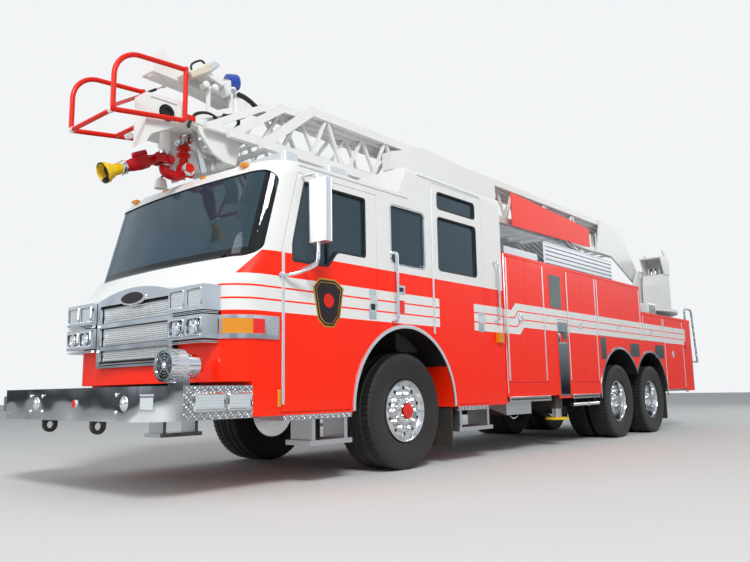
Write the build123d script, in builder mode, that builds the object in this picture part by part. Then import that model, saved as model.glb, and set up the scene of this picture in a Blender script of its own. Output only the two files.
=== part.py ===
"""Ladder truck: a rear-mounted aerial ladder on a three-axle chassis with a forward cab.

Millimetres. X points forward, Y to the vehicle's left, Z up. The origin is on the ground, in the
middle of the vehicle's length and width.
"""
from build123d import *
from math import cos, hypot, pi, radians, sin, sqrt
import os

os.makedirs("parts", exist_ok=True)

# Overall layout
front_axle_x = 3170
wheelbase = 5850
tandem_spacing = 1360
rear_axle_x = (
    front_axle_x - wheelbase + tandem_spacing / 2,
    front_axle_x - wheelbase - tandem_spacing / 2,
)
half_width = 1250
seat_gap = 0.3
door_gap = 5
joint_gap = 6

# Wheels
front_tyre_r = 561.5
front_tyre_w = 425
front_wheel_y = 982
rear_tyre_r = 542
rear_tyre_w = 298
rear_wheel_y = (725, 1065)
rim_r = 300
spindle_r = 45
spindle_fit = 0.05
kingpin_y = 800
kingpin_r = 30

# Frame rails and engine
rail_y = 430
rail_height = 270
rail_flange = 90
rail_web = 12
rail_top = 980
frame_rear_x = front_axle_x - 8560

# Cab shell
cab_wall = 50
cab_bottom = 580
cab_front_x = front_axle_x + 2240
cowl_x = front_axle_x + 2070
brow_x = front_axle_x + 1875
cab_rear_x = front_axle_x - 1800
nose_crown = 60
corner_r = 300
grille_top_z = 1640
cowl_z = 1880
brow_z = 2600
roof_z = 2720
raised_roof_z = 3030
raised_front_x = front_axle_x - 20
cabin_floor_z = 1100
tunnel_half = 560
tunnel_z = 1390
bumper_cut_z = 850
nose_recess = 140
nose_recess_z = (1000, 1180, 1600)
grille_recess = 613
lamp_recess = 1080
bumper_cut_x = front_axle_x + 1965
arch_x = front_axle_x + 40
arch_z = 590
arch_r = 770
arch_depth_y = 455
belt_z = 1925

# Cab doors: front edge, rear edge, bottom and top
front_door = (front_axle_x + 1671, front_axle_x + 480, 605, 2620)
front_door_lean = 178
crew_door = (front_axle_x - 406, front_axle_x - 1380, 600, 2940)
door_t = 50
pane_t = 6
hinge_r = 6
step_well_z = 640
step_well_depth = 420

# Body shell
body_front_x = front_axle_x - 1830
body_step_x = front_axle_x - 6165
body_rear_x = front_axle_x - 8620
body_top_z = 2380
deck_z = 1970
body_bottom_z = 660
body_wall = 45
locker_depth = 600
deck_t = 40
fender_arches = ((rear_axle_x[0] - 10, 575, 745), (rear_axle_x[1] + 100, 600, 700))

# Body doors: name, front edge, rear edge, bottom and top
body_doors = (
    ("a", front_axle_x - 1880, front_axle_x - 2820, 830, 2340),
    ("b", front_axle_x - 3475, front_axle_x - 4405, 830, 2340),
    ("c", front_axle_x - 4455, front_axle_x - 6120, 1500, 2340),
    ("d", front_axle_x - 6200, front_axle_x - 7120, 1500, 1925),
    ("e", front_axle_x - 7170, front_axle_x - 8150, 700, 1925),
)

# Outriggers
beam_x = (front_axle_x - 3225, front_axle_x - 3385)
beam_size = 150
beam_z = 560
beam_wall = 12
beam_travel = 1150
jack_travel = 340
jack_r = 60
jack_y = 1145
panel_x = (front_axle_x - 3145, front_axle_x - 3460)
panel_z = (618, 1650)
panel_t = 25

# Turntable and ladder pivot
turntable_x = front_axle_x - 7550
turntable_r = 1330
pedestal_r = 520
pedestal_top = 2050
platform_t = 45
heel_x = front_axle_x - 7850
heel_z = 2800
heel_pin_r = 45
pylon_y = 640
pylon_t = 50

# Ladder sections: half width over the rails, foot, top, rear end, front foot, rail height, rail width
ladder_sections = (
    (555, 3062, 3660, front_axle_x - 6900, front_axle_x + 1300, 90, 70),
    (475, 3110, 3612, front_axle_x - 6820, front_axle_x + 1620, 75, 60),
    (405, 3154, 3572, front_axle_x - 6740, front_axle_x + 1830, 65, 55),
    (340, 3194, 3534, front_axle_x - 6660, front_axle_x + 2000, 55, 50),
)
strut_run = 630
brace_pitch = 960
brace_run = 235
brace_w = 32
rung_pitch = 355.6
rung_w = 34
rung_h = 26
pad_length = 160
section_travel = 7000

# Lift cylinders
lift_y = 640
lift_lug_y = 590
foot_lug_y = 555
lift_foot = (front_axle_x - 6900, 2420)
lift_eye = (front_axle_x - 4600, 3110)
barrel_r = 75
rod_r = 45
barrel_length = 1750
lift_pin_r = 40


def block(x, y, z, mode=Mode.ADD):
    """A block between two values of x, of y and of z."""
    with Locations(((x[0] + x[1]) / 2, (y[0] + y[1]) / 2, (z[0] + z[1]) / 2)):
        Box(abs(x[1] - x[0]), abs(y[1] - y[0]), abs(z[1] - z[0]), mode=mode)


def side_span(side, near, far):
    """Two values of y on one side of the vehicle, 1 for left and -1 for right."""
    return (side * near, side * far)


def bar(start, end, width, depth, mode=Mode.ADD):
    """A straight bar from start to end, with its width along Y where it runs in an XZ plane."""
    first = Vector(*start)
    run = Vector(*end) - first
    up = Vector(0, 1, 0) if abs(run.Y) < run.length * 0.9 else Vector(0, 0, 1)
    across = run.cross(up).cross(run)
    with Locations(Plane(origin=first + run * 0.5, x_dir=run, z_dir=across)):
        Box(run.length, depth, width, mode=mode)


def rod(centre, radius, length, direction, mode=Mode.ADD):
    """A round rod centred on a point."""
    with Locations(Plane(origin=centre, z_dir=direction)):
        Cylinder(radius, length, mode=mode)


def pipe(points, diameter, bend):
    """A round tube along straight runs with rounded corners."""
    with BuildLine() as route:
        FilletPolyline(*points, radius=bend)
    with BuildSketch(Plane(origin=route.line @ 0, z_dir=route.line % 0)) as section:
        Circle(diameter / 2)
    sweep(section.sketch, path=route.line)


def prism(points, plane, thickness, mode=Mode.ADD):
    """A flat plate with straight edges, drawn on a plane and made thick along its normal."""
    with BuildSketch(plane) as face:
        with BuildLine():
            Polyline(*points, close=True)
        make_face()
    extrude(face.sketch, amount=thickness, mode=mode)


def side_plane(y):
    """The plane at one y whose drawing axes are the vehicle's X and Z."""
    return Plane(origin=(0, y, 0), x_dir=(1, 0, 0), z_dir=(0, -1, 0))


def cross_plane(x):
    """The plane at one x whose drawing axes are the vehicle's Y and Z."""
    return Plane(origin=(x, 0, 0), x_dir=(0, 1, 0), z_dir=(1, 0, 0))


def cab_outline(z, nose_x, inset):
    """One level of the cab: flat sides, round front corners and a crowned nose."""
    side = half_width - inset
    nose = nose_x - inset
    rear = cab_rear_x + inset
    corner = corner_r - inset
    shoulder = (nose - nose_crown, side - corner)
    bend = (nose - nose_crown - corner * (1 - cos(pi / 4)), side - corner * (1 - sin(pi / 4)))
    flank = (nose - nose_crown - corner, side)
    with BuildSketch(Plane.XY.offset(z)) as level:
        with BuildLine():
            ThreePointArc((shoulder[0], -shoulder[1]), (nose, 0), shoulder)
            ThreePointArc(shoulder, bend, flank)
            Line(flank, (rear, side))
            Line((rear, side), (rear, -side))
            Line((rear, -side), (flank[0], -side))
            ThreePointArc((flank[0], -side), (bend[0], -bend[1]), (shoulder[0], -shoulder[1]))
        make_face()
    return level.sketch


def door_outline(door, lean, grow):
    """A cab door seen from its side, grown all round, with the wheel arch taken out."""
    front, rear, low, high = door
    with BuildSketch(Plane.XZ) as outline:
        with BuildLine():
            Polyline(
                (front + grow, low - grow),
                (front + grow, belt_z),
                (front - lean + grow, high + grow),
                (rear - grow, high + grow),
                (rear - grow, low - grow),
                close=True,
            )
        make_face()
        with Locations((arch_x, arch_z)):
            Circle(arch_r + cab_wall - grow, mode=Mode.SUBTRACT)
    return outline.sketch


front_window = (
    (front_axle_x + 1560, 1840),
    (front_axle_x + 1130, 1840),
    (front_axle_x + 1010, 1985),
    (front_axle_x + 630, 1985),
    (front_axle_x + 630, 2560),
    (front_axle_x + 1425, 2560),
    (front_axle_x + 1560, 2000),
)
mid_window = (front_axle_x + 262, front_axle_x - 290, 1985, 2575)
crew_windows = (
    (front_axle_x - 520, front_axle_x - 1265, 2000, 2590),
    (front_axle_x - 520, front_axle_x - 1255, 2670, 2865),
)
screen_size = (2430, 770)
screen_z = 2235
screen_r = 110
screen_from_x = front_axle_x + 1560
window_r = 55


def rounded_window(window, grow=0):
    """A window from its front, rear, low and high edges, with round corners."""
    front, rear, low, high = window
    with BuildSketch(Plane.XZ) as hole:
        with Locations(((front + rear) / 2, (low + high) / 2)):
            RectangleRounded(front - rear + 2 * grow, high - low + 2 * grow, window_r)
    return hole.sketch


def door_window():
    """The front door's window, with its dropped front part."""
    with BuildSketch(Plane.XZ) as hole:
        with BuildLine():
            Polyline(*front_window, close=True)
        make_face()
        fillet(hole.vertices(), 35)
    return hole.sketch


def at_side(sketch, side, depth):
    """A sketch of the XZ plane moved to a depth below the vehicle's skin."""
    return Pos(0, side * (half_width - depth), 0) * sketch


def extrude_in(sketch, side, depth, thickness, mode=Mode.ADD):
    """A sketch of the side made into a plate that starts at a depth and goes inwards."""
    extrude(at_side(sketch, side, depth), amount=thickness, dir=(0, -side, 0), mode=mode)


# Cab shell
cab_levels = (
    (cab_bottom, cab_front_x),
    (grille_top_z, cab_front_x),
    (cowl_z, cowl_x),
    (brow_z, brow_x),
    (roof_z, brow_x - 90),
)
outer_levels = [cab_outline(z, nose, 0) for z, nose in cab_levels]
with BuildPart() as cab_solid:
    for lower, upper in zip(outer_levels[:-1], outer_levels[1:]):
        loft([lower, upper], ruled=True)

inner_levels = [
    cab_outline(cabin_floor_z, cab_front_x, cab_wall),
    cab_outline(grille_top_z, cab_front_x, cab_wall),
    cab_outline(cowl_z, cowl_x, cab_wall),
    cab_outline(brow_z, brow_x, cab_wall),
    cab_outline(roof_z - cab_wall, brow_x - 45, cab_wall),
]
with BuildPart() as cabin_space:
    for lower, upper in zip(inner_levels[:-1], inner_levels[1:]):
        loft([lower, upper], ruled=True)
    tunnel_side = tunnel_half + cab_wall
    tunnel_wall_z = (0, tunnel_z + cab_wall)
    block((cab_rear_x, cab_front_x), (-tunnel_side, tunnel_side), tunnel_wall_z, Mode.SUBTRACT)
    for side in (1, -1):
        centre = (arch_x, side * (arch_depth_y + half_width) / 2, arch_z)
        rod(centre, arch_r + cab_wall, half_width - arch_depth_y, (0, 1, 0), Mode.SUBTRACT)

with BuildPart() as cab:
    add(cab_solid.part)
    prism(
        (
            (cab_rear_x, roof_z - cab_wall),
            (raised_front_x + 170, roof_z - cab_wall),
            (raised_front_x, raised_roof_z),
            (cab_rear_x, raised_roof_z),
        ),
        side_plane(half_width),
        2 * half_width,
    )
    roof_edges = cab.edges().filter_by(Axis.X).group_by(Axis.Z)[-1]
    fillet(roof_edges, 70)
    add(cabin_space.part, mode=Mode.SUBTRACT)
    prism(
        (
            (cab_rear_x + cab_wall, roof_z - 2 * cab_wall),
            (raised_front_x + 60, roof_z - 2 * cab_wall),
            (raised_front_x - 60, raised_roof_z - cab_wall),
            (cab_rear_x + cab_wall, raised_roof_z - cab_wall),
        ),
        side_plane(half_width - cab_wall),
        2 * (half_width - cab_wall),
        mode=Mode.SUBTRACT,
    )
    # The engine tunnel and the space over the bumper
    block((cab_rear_x, cab_front_x - 260), (-tunnel_half, tunnel_half), (0, tunnel_z), Mode.SUBTRACT)
    bumper_space_x = (bumper_cut_x, cab_front_x + 100)
    block(bumper_space_x, (-half_width, half_width), (0, bumper_cut_z), Mode.SUBTRACT)
    for side in (1, -1):
        # Wheel arches
        centre = (arch_x, side * (arch_depth_y + half_width) / 2, arch_z)
        rod(centre, arch_r, half_width - arch_depth_y, (0, 1, 0), Mode.SUBTRACT)
        arch_y = side_span(side, arch_depth_y, half_width)
        block((arch_x - arch_r, arch_x + arch_r), arch_y, (0, arch_z), Mode.SUBTRACT)
        # Step wells inside the doors
        well_y = side_span(side, half_width - door_t - step_well_depth, half_width - door_t + 1)
        wells = ((arch_x + arch_r + 60, front_door[0] - 40), (crew_door[1] + 40, arch_x - arch_r - 60))
        for well_x in wells:
            block(well_x, well_y, (step_well_z, cabin_floor_z + 1), Mode.SUBTRACT)
        # Door openings and fixed windows
        for door, lean in ((front_door, front_door_lean), (crew_door, 0)):
            extrude_in(door_outline(door, lean, door_gap), side, -1, door_t + 2, Mode.SUBTRACT)
        extrude_in(rounded_window(mid_window), side, -1, cab_wall + 2, Mode.SUBTRACT)
    # Windscreen opening
    with BuildSketch(cross_plane(screen_from_x)):
        with Locations((0, screen_z)):
            RectangleRounded(*screen_size, screen_r)
    extrude(amount=cab_front_x - screen_from_x, mode=Mode.SUBTRACT)
    # Recess for the grille and the lamps
    recess_x = (cab_front_x - nose_recess, cab_front_x + 100)
    for half, low in ((grille_recess, nose_recess_z[0]), (lamp_recess, nose_recess_z[1])):
        block(recess_x, (-half, half), (low, nose_recess_z[2]), Mode.SUBTRACT)
cab.part.label = "cab"
export_step(cab.part, "parts/cab.step")

# Windscreen and fixed side windows
with BuildPart() as screen_space:
    add(cab_solid.part)
    add(cabin_space.part, mode=Mode.SUBTRACT)
    with BuildSketch(cross_plane(screen_from_x)):
        with Locations((0, screen_z)):
            RectangleRounded(*screen_size, screen_r)
    extrude(amount=cab_front_x - screen_from_x, mode=Mode.INTERSECT)
screen_depth = (14, 24)
with BuildPart() as screen_outside:
    for lower, upper in zip(cab_levels[:-1], cab_levels[1:]):
        loft([cab_outline(*lower, screen_depth[0]), cab_outline(*upper, screen_depth[0])], ruled=True)
with BuildPart() as screen_inside:
    for lower, upper in zip(cab_levels[:-1], cab_levels[1:]):
        loft([cab_outline(*lower, screen_depth[1]), cab_outline(*upper, screen_depth[1])], ruled=True)
with BuildPart() as cab_glass:
    add(screen_space.part)
    add(screen_outside.part, mode=Mode.INTERSECT)
    add(screen_inside.part, mode=Mode.SUBTRACT)
    for side in (1, -1):
        extrude_in(rounded_window(mid_window), side, cab_wall / 2, pane_t)
cab_glass.part.label = "cab_glass"
export_step(cab_glass.part, "parts/cab_glass.step")


# Grille: a chrome surround with a crowned top, three openings and slats
grille_half = grille_recess - 8
grille_z = (nose_recess_z[0], nose_recess_z[2])
grille_x = (cab_front_x - nose_recess, cab_front_x + 30)
grille_bars = (1175, 1380)
grille_bar_h = 40
grille_rim = 55
crown_z = 1685
slat_pitch = 36
slat_h = 12
slat_d = 20
slat_inset = 60
with BuildPart() as grille:
    with BuildSketch(cross_plane(grille_x[0])) as surround:
        with Locations((0, sum(grille_z) / 2)):
            Rectangle(2 * grille_half, grille_z[1] - grille_z[0])
        edges = [grille_z[0], *grille_bars, grille_z[1] - grille_bar_h / 2]
        openings = [
            (low + grille_bar_h / 2, high - grille_bar_h / 2) for low, high in zip(edges[:-1], edges[1:])
        ]
        for low, high in openings:
            with Locations((0, (low + high) / 2)):
                Rectangle(2 * (grille_half - grille_rim), high - low, mode=Mode.SUBTRACT)
    extrude(surround.sketch, amount=grille_x[1] - grille_x[0])
    crown_low = grille_z[1] - grille_bar_h
    with BuildSketch(cross_plane(cab_front_x + seat_gap)) as crown:
        with BuildLine():
            Line((-grille_half, crown_low), (grille_half, crown_low))
            Line((grille_half, crown_low), (grille_half, grille_z[1]))
            ThreePointArc((grille_half, grille_z[1]), (0, crown_z), (-grille_half, grille_z[1]))
            Line((-grille_half, grille_z[1]), (-grille_half, crown_low))
        make_face()
    extrude(crown.sketch, amount=grille_x[1] - cab_front_x - seat_gap)
    slats = [
        (grille_x[1] - slat_inset, 0, low + slat_pitch * (step + 0.5))
        for low, high in openings
        for step in range(int((high - low) / slat_pitch))
    ]
    with Locations(*slats):
        Box(slat_d, 2 * grille_half - slat_d, slat_h)
grille.part.label = "grille"
export_step(grille.part, "parts/grille.step")

# Headlamp clusters: low and high edge of each row, and how its lamps are made
lamp_rows = (
    (nose_recess_z[1], 1365, "bowl"),
    (1400, nose_recess_z[2] - 2, "panel"),
)
lamp_y = (grille_half + 8, lamp_recess)
lamp_front_x = cab_front_x + 80
lamp_count = 2
lamp_rim = 22
lamp_edge = 28
lamp_depth = 35
bowl_r = (64, 52)
wrap_t = 14
wrap_lens_t = 8
wrap_lens_z = (1220, 1336)
wrap_lens_y = 1110
wrap_lens_rear = front_axle_x + 1867


def nose_band(z, depth, proud):
    """A band round the cab's front from depth inside a shell to its outside."""
    extrude(cab_outline(z[0], cab_front_x, -proud), amount=z[1] - z[0])
    extrude(cab_outline(z[0], cab_front_x, depth - proud), amount=z[1] - z[0], mode=Mode.SUBTRACT)


everywhere = (-2 * cab_front_x, 2 * cab_front_x)
with BuildPart() as wrap:
    nose_band(lamp_rows[0][:2], wrap_t, wrap_t)
    block((everywhere[0], front_door[0] + 40), everywhere, everywhere, Mode.SUBTRACT)
    block(everywhere, (-lamp_y[1], lamp_y[1]), everywhere, Mode.SUBTRACT)
with BuildPart() as wrap_lens:
    nose_band(wrap_lens_z, wrap_lens_t + 2, wrap_t + wrap_lens_t)
    block((everywhere[0], wrap_lens_rear), everywhere, everywhere, Mode.SUBTRACT)
    block(everywhere, (-wrap_lens_y, wrap_lens_y), everywhere, Mode.SUBTRACT)
with BuildPart() as headlamps:
    add(wrap.part)
    add(wrap_lens.part)
    for side in (1, -1):
        for low, high, kind in lamp_rows:
            block((cab_front_x - nose_recess, lamp_front_x), side_span(side, *lamp_y), (low, high))
            width = (lamp_y[1] - lamp_y[0]) / lamp_count
            for place in range(lamp_count):
                near = lamp_y[0] + place * width + lamp_rim
                far = near + width - 2 * lamp_rim
                recess_z = (low + lamp_edge, high - lamp_edge)
                recess_x = (lamp_front_x - lamp_depth, lamp_front_x)
                block(recess_x, side_span(side, near, far), recess_z, Mode.SUBTRACT)
                middle = (side * (near + far) / 2, sum(recess_z) / 2)
                if kind == "bowl":
                    rod((recess_x[0] + 12, *middle), bowl_r[0], 26, (1, 0, 0))
                    rod((recess_x[0] + 16, *middle), bowl_r[1], 20, (1, 0, 0), Mode.SUBTRACT)
                    rod((recess_x[0] + 5, *middle), bowl_r[1] / 3, 24, (1, 0, 0))
                else:
                    lens_y = side_span(side, near + 6, far - 6)
                    block((recess_x[0] - 1, recess_x[1] - 8), lens_y, (recess_z[0] + 6, recess_z[1] - 6))
headlamps.part.label = "headlamps"
export_step(headlamps.part, "parts/headlamps.step")

# Bumper with its deck and lamps, and the siren that stands on it
bumper_x = front_axle_x + 2860
bumper_z = (574, 820)
bumper_r = 270
bumper_t = 30
bumper_lamp_z = 702
fitting_y = (-436, 935)
fitting_r = 46
marker_y = 223
corner_lamp_angle = radians(37)
flank_lamps = (front_axle_x + 2330, front_axle_x + 2070)
siren_x = (front_axle_x + 2262, front_axle_x + 2600)
siren_y = 1000
siren_r = 122
siren_z = bumper_z[1] + siren_r + 28
with BuildPart() as bumper:
    for inset, top, mode in ((0, bumper_z[1], Mode.ADD), (bumper_t, bumper_z[1] - 20, Mode.SUBTRACT)):
        with BuildSketch(Plane.XY.offset(bumper_z[0])) as plan:
            with Locations(((bumper_x - inset + bumper_cut_x) / 2, 0)):
                Rectangle(bumper_x - inset - bumper_cut_x, 2 * (half_width - inset))
            fillet(plan.vertices().group_by(Axis.X)[-1], bumper_r - inset)
        extrude(plan.sketch, amount=top - bumper_z[0], mode=mode)
    # A pressed groove along the front face, over and under the fittings
    for z in (bumper_z[0] + 50, bumper_z[1] - 45):
        groove_y = half_width - bumper_r
        block((bumper_x - 6, bumper_x), (-groove_y, groove_y), (z - 5, z + 5), Mode.SUBTRACT)
    for y in fitting_y:
        rod((bumper_x - 9, y, bumper_lamp_z), fitting_r, 18, (1, 0, 0), Mode.SUBTRACT)
        rod((bumper_x - 12, y, bumper_lamp_z), fitting_r * 0.6, 18, (1, 0, 0))
    rod((bumper_x, marker_y, bumper_lamp_z), 30, 24, (1, 0, 0))
    for side in (1, -1):
        corner = (bumper_x - bumper_r, side * (half_width - bumper_r))
        aim = (cos(corner_lamp_angle), side * sin(corner_lamp_angle))
        ends = [
            (corner[0] + reach * aim[0], corner[1] + reach * aim[1], bumper_lamp_z)
            for reach in (bumper_r - 15, bumper_r + 12)
        ]
        bar(*ends, 90, 80)
        for x in flank_lamps:
            lamp_span = side_span(side, half_width - 2, half_width + 12)
            block((x - 55, x + 55), lamp_span, (bumper_lamp_z - 38, bumper_lamp_z + 38))
    with BuildSketch(side_plane(siren_y)) as siren:
        with BuildLine():
            Polyline(
                (siren_x[0], siren_z),
                (siren_x[1] - 60, siren_z),
                (siren_x[1] - 10, siren_z + 24),
                (siren_x[1] - 60, siren_z + 40),
                (siren_x[1] - 60, siren_z + siren_r - 14),
                (siren_x[1], siren_z + siren_r - 14),
                (siren_x[1], siren_z + siren_r),
                (siren_x[1] - 150, siren_z + siren_r),
                (siren_x[1] - 170, siren_z + siren_r - 25),
                (siren_x[0] + 70, siren_z + siren_r - 30),
                (siren_x[0] + 20, siren_z + 60),
                close=True,
            )
        make_face()
    revolve(siren.sketch, axis=Axis((0, siren_y, siren_z), (1, 0, 0)))
    siren_foot_x = (siren_x[1] - 200, siren_x[1] - 80)
    block(siren_foot_x, (siren_y - 50, siren_y + 50), (bumper_z[1] - 5, siren_z - 60))
bumper.part.label = "bumper"
export_step(bumper.part, "parts/bumper.step")

# Cab seats and dashboard: seats by their cushion's rear edge, direction and inner side
seat_w = 480
seat_depth = 480
seat_back_t = 110
seat_z = (1470, 1600, 2250)
seats = (
    (front_axle_x + 780, 1, 520),
    (front_axle_x - 80, -1, 520),
    (front_axle_x - 1250, 1, 520),
    (front_axle_x - 1250, 1, 10),
)
tunnel_top = tunnel_z + cab_wall + seat_gap
with BuildPart() as cab_interior:
    block((front_axle_x + 1700, front_axle_x + 1960), (-1000, 1000), (1500, 1790))
    block((front_axle_x + 1700, front_axle_x + 1900), (-580, 580), (tunnel_top, 1500))
    for x, way, near in seats:
        for side in (1, -1):
            seat_y = side_span(side, near, near + seat_w)
            block((x, x + way * seat_depth), seat_y, (seat_z[0], seat_z[1]))
            block((x - way * seat_back_t, x), seat_y, (seat_z[0], seat_z[2]))
            foot_y = side_span(side, near, min(near + seat_w, tunnel_half + cab_wall - 10))
            block((x, x + way * seat_depth), foot_y, (tunnel_top, seat_z[0]))
    # Steering wheel on its column
    rod((front_axle_x + 1640, 700, 1800), 225, 30, (-1, 0, 1))
    rod((front_axle_x + 1640, 700, 1800), 195, 32, (-1, 0, 1), Mode.SUBTRACT)
    bar((front_axle_x + 1640, 490, 1800), (front_axle_x + 1640, 910, 1800), 40, 24)
    bar((front_axle_x + 1720, 700, 1720), (front_axle_x + 1640, 700, 1800), 60, 60)
cab_interior.part.label = "cab_interior"
export_step(cab_interior.part, "parts/cab_interior.step")


def hinge(side, x, low, high):
    """The barrel and leaf of a long hinge on the skin at a door's front edge."""
    barrel_y = side * (half_width + seat_gap + hinge_r)
    rod((x + door_gap / 2, barrel_y, (low + high) / 2), hinge_r, high - low, (0, 0, 1))
    block((x - 28, x + door_gap / 2), side_span(side, half_width, half_width + seat_gap + 3), (low, high))


# Cab doors with their windows, handles and mirrors
mirror_x = front_axle_x + 1450
mirror_y = half_width + 200
mirror_z = (1990, 2530)
mirror_head = (105, 210, 36)
pole_z = (1780, 1820, 2595)
pole_d = 28
for side, name in ((1, "left"), (-1, "right")):
    with BuildPart() as front_leaf:
        extrude_in(door_outline(front_door, front_door_lean, 0), side, 0, door_t)
        extrude_in(door_window(), side, -1, door_t + 2, Mode.SUBTRACT)
        hinge(side, front_door[0], front_door[2] + 60, belt_z)
        pole_root = side * (half_width - 20)
        pipe(
            (
                (mirror_x, pole_root, pole_z[2]),
                (mirror_x, side * mirror_y, pole_z[2]),
                (mirror_x, side * mirror_y, pole_z[1]),
                (mirror_x, pole_root, pole_z[0]),
            ),
            pole_d,
            60,
        )
        with BuildSketch(Plane.XY.offset(mirror_z[0])) as head:
            with Locations((mirror_x - mirror_head[0] / 4, side * mirror_y)):
                RectangleRounded(*mirror_head)
        extrude(head.sketch, amount=mirror_z[1] - mirror_z[0])
        handle_y = side_span(side, half_width - 5, half_width + 25)
        block((front_axle_x + 500, front_axle_x + 600), handle_y, (1560, 1640))
    front_leaf.part.label = f"front_door_{name}"
    export_step(front_leaf.part, f"parts/front_door_{name}.step")

    with BuildPart() as front_pane:
        extrude_in(door_window(), side, door_t / 2, pane_t)
    front_pane.part.label = f"front_door_glass_{name}"
    export_step(front_pane.part, f"parts/front_door_glass_{name}.step")

    with BuildPart() as crew_leaf:
        extrude_in(door_outline(crew_door, 0, 0), side, 0, door_t)
        for window in crew_windows:
            extrude_in(rounded_window(window), side, -1, door_t + 2, Mode.SUBTRACT)
        hinge(side, crew_door[0], 1330, crew_door[3] - 60)
        block((front_axle_x - 1355, front_axle_x - 1255), handle_y, (1490, 1570))
    crew_leaf.part.label = f"crew_door_{name}"
    export_step(crew_leaf.part, f"parts/crew_door_{name}.step")

    with BuildPart() as crew_pane:
        for window in crew_windows:
            extrude_in(rounded_window(window), side, door_t / 2, pane_t)
    crew_pane.part.label = f"crew_door_glass_{name}"
    export_step(crew_pane.part, f"parts/crew_door_glass_{name}.step")

# Frame: channel rails, front extension, cross tubes, outrigger sleeve and tow eyes
cross_tubes = [front_axle_x + x for x in (-1500, -2600, -4200, -7300, -8500)]
extension_z = (600, bumper_z[1] - 20)
sleeve_y = 600
tow_eye_r = 30
tow_eye_x = (front_axle_x + 2760, frame_rear_x - 60)
tow_eye_y = 395
tow_eye_z = (530, 615)
tow_eye_t = 30
with BuildPart() as frame:
    for side in (1, -1):
        block(
            (frame_rear_x, front_axle_x + 1950),
            side_span(side, rail_y - rail_flange, rail_y),
            (rail_top - rail_height, rail_top),
        )
        block(
            (frame_rear_x, front_axle_x + 1950),
            side_span(side, rail_y - rail_flange, rail_y - rail_web),
            (rail_top - rail_height + rail_web, rail_top - rail_web),
            Mode.SUBTRACT,
        )
    for side in (1, -1):
        block((front_axle_x + 1650, bumper_x - bumper_t), side_span(side, rail_y - 60, rail_y), extension_z)
        block((frame_rear_x - 120, frame_rear_x), side_span(side, rail_y - 60, rail_y), (700, 800))
        eye_y = side_span(side, tow_eye_y - tow_eye_t / 2, tow_eye_y + tow_eye_t / 2)
        for x, z in zip(tow_eye_x, tow_eye_z):
            rod((x, side * tow_eye_y, z), 2 * tow_eye_r, tow_eye_t, (0, 1, 0))
            block((x - 2 * tow_eye_r, x + 2 * tow_eye_r), eye_y, (z, 740))
            rod((x, side * tow_eye_y, z), tow_eye_r, tow_eye_t + 10, (0, 1, 0), Mode.SUBTRACT)
    with Locations(*[(x, 0, rail_top - rail_height / 2) for x in cross_tubes]):
        Box(100, 2 * rail_y - 20, 120)
    block((front_axle_x + 2400, front_axle_x + 2460), (-rail_y + 20, rail_y - 20), (640, 780))
    # Outrigger sleeve under the rails, with one square way for each beam
    sleeve_x = (beam_x[1] - beam_size / 2 - beam_wall, beam_x[0] + beam_size / 2 + beam_wall)
    sleeve_z = (beam_z - beam_size / 2 - beam_wall, rail_top - rail_height)
    block(sleeve_x, (-sleeve_y, sleeve_y), sleeve_z)
    for x in beam_x:
        half = beam_size / 2 + seat_gap
        way_z = (beam_z - half, beam_z + half)
        block((x - half, x + half), (-sleeve_y, sleeve_y), way_z, Mode.SUBTRACT)
frame.part.label = "frame"
export_step(frame.part, "parts/frame.step")

# Engine: one plain block on four feet
engine_x = (front_axle_x - 700, front_axle_x + 560)
engine_half = rail_y - rail_flange - 8
with BuildPart() as engine:
    block(engine_x, (-engine_half, engine_half), (640, 1360))
    for x in engine_x:
        inner = x + 40 if x == engine_x[0] else x - 100
        block((inner, inner + 60), (-rail_y, rail_y), (rail_top, rail_top + 50))
engine.part.label = "engine"
export_step(engine.part, "parts/engine.step")

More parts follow.
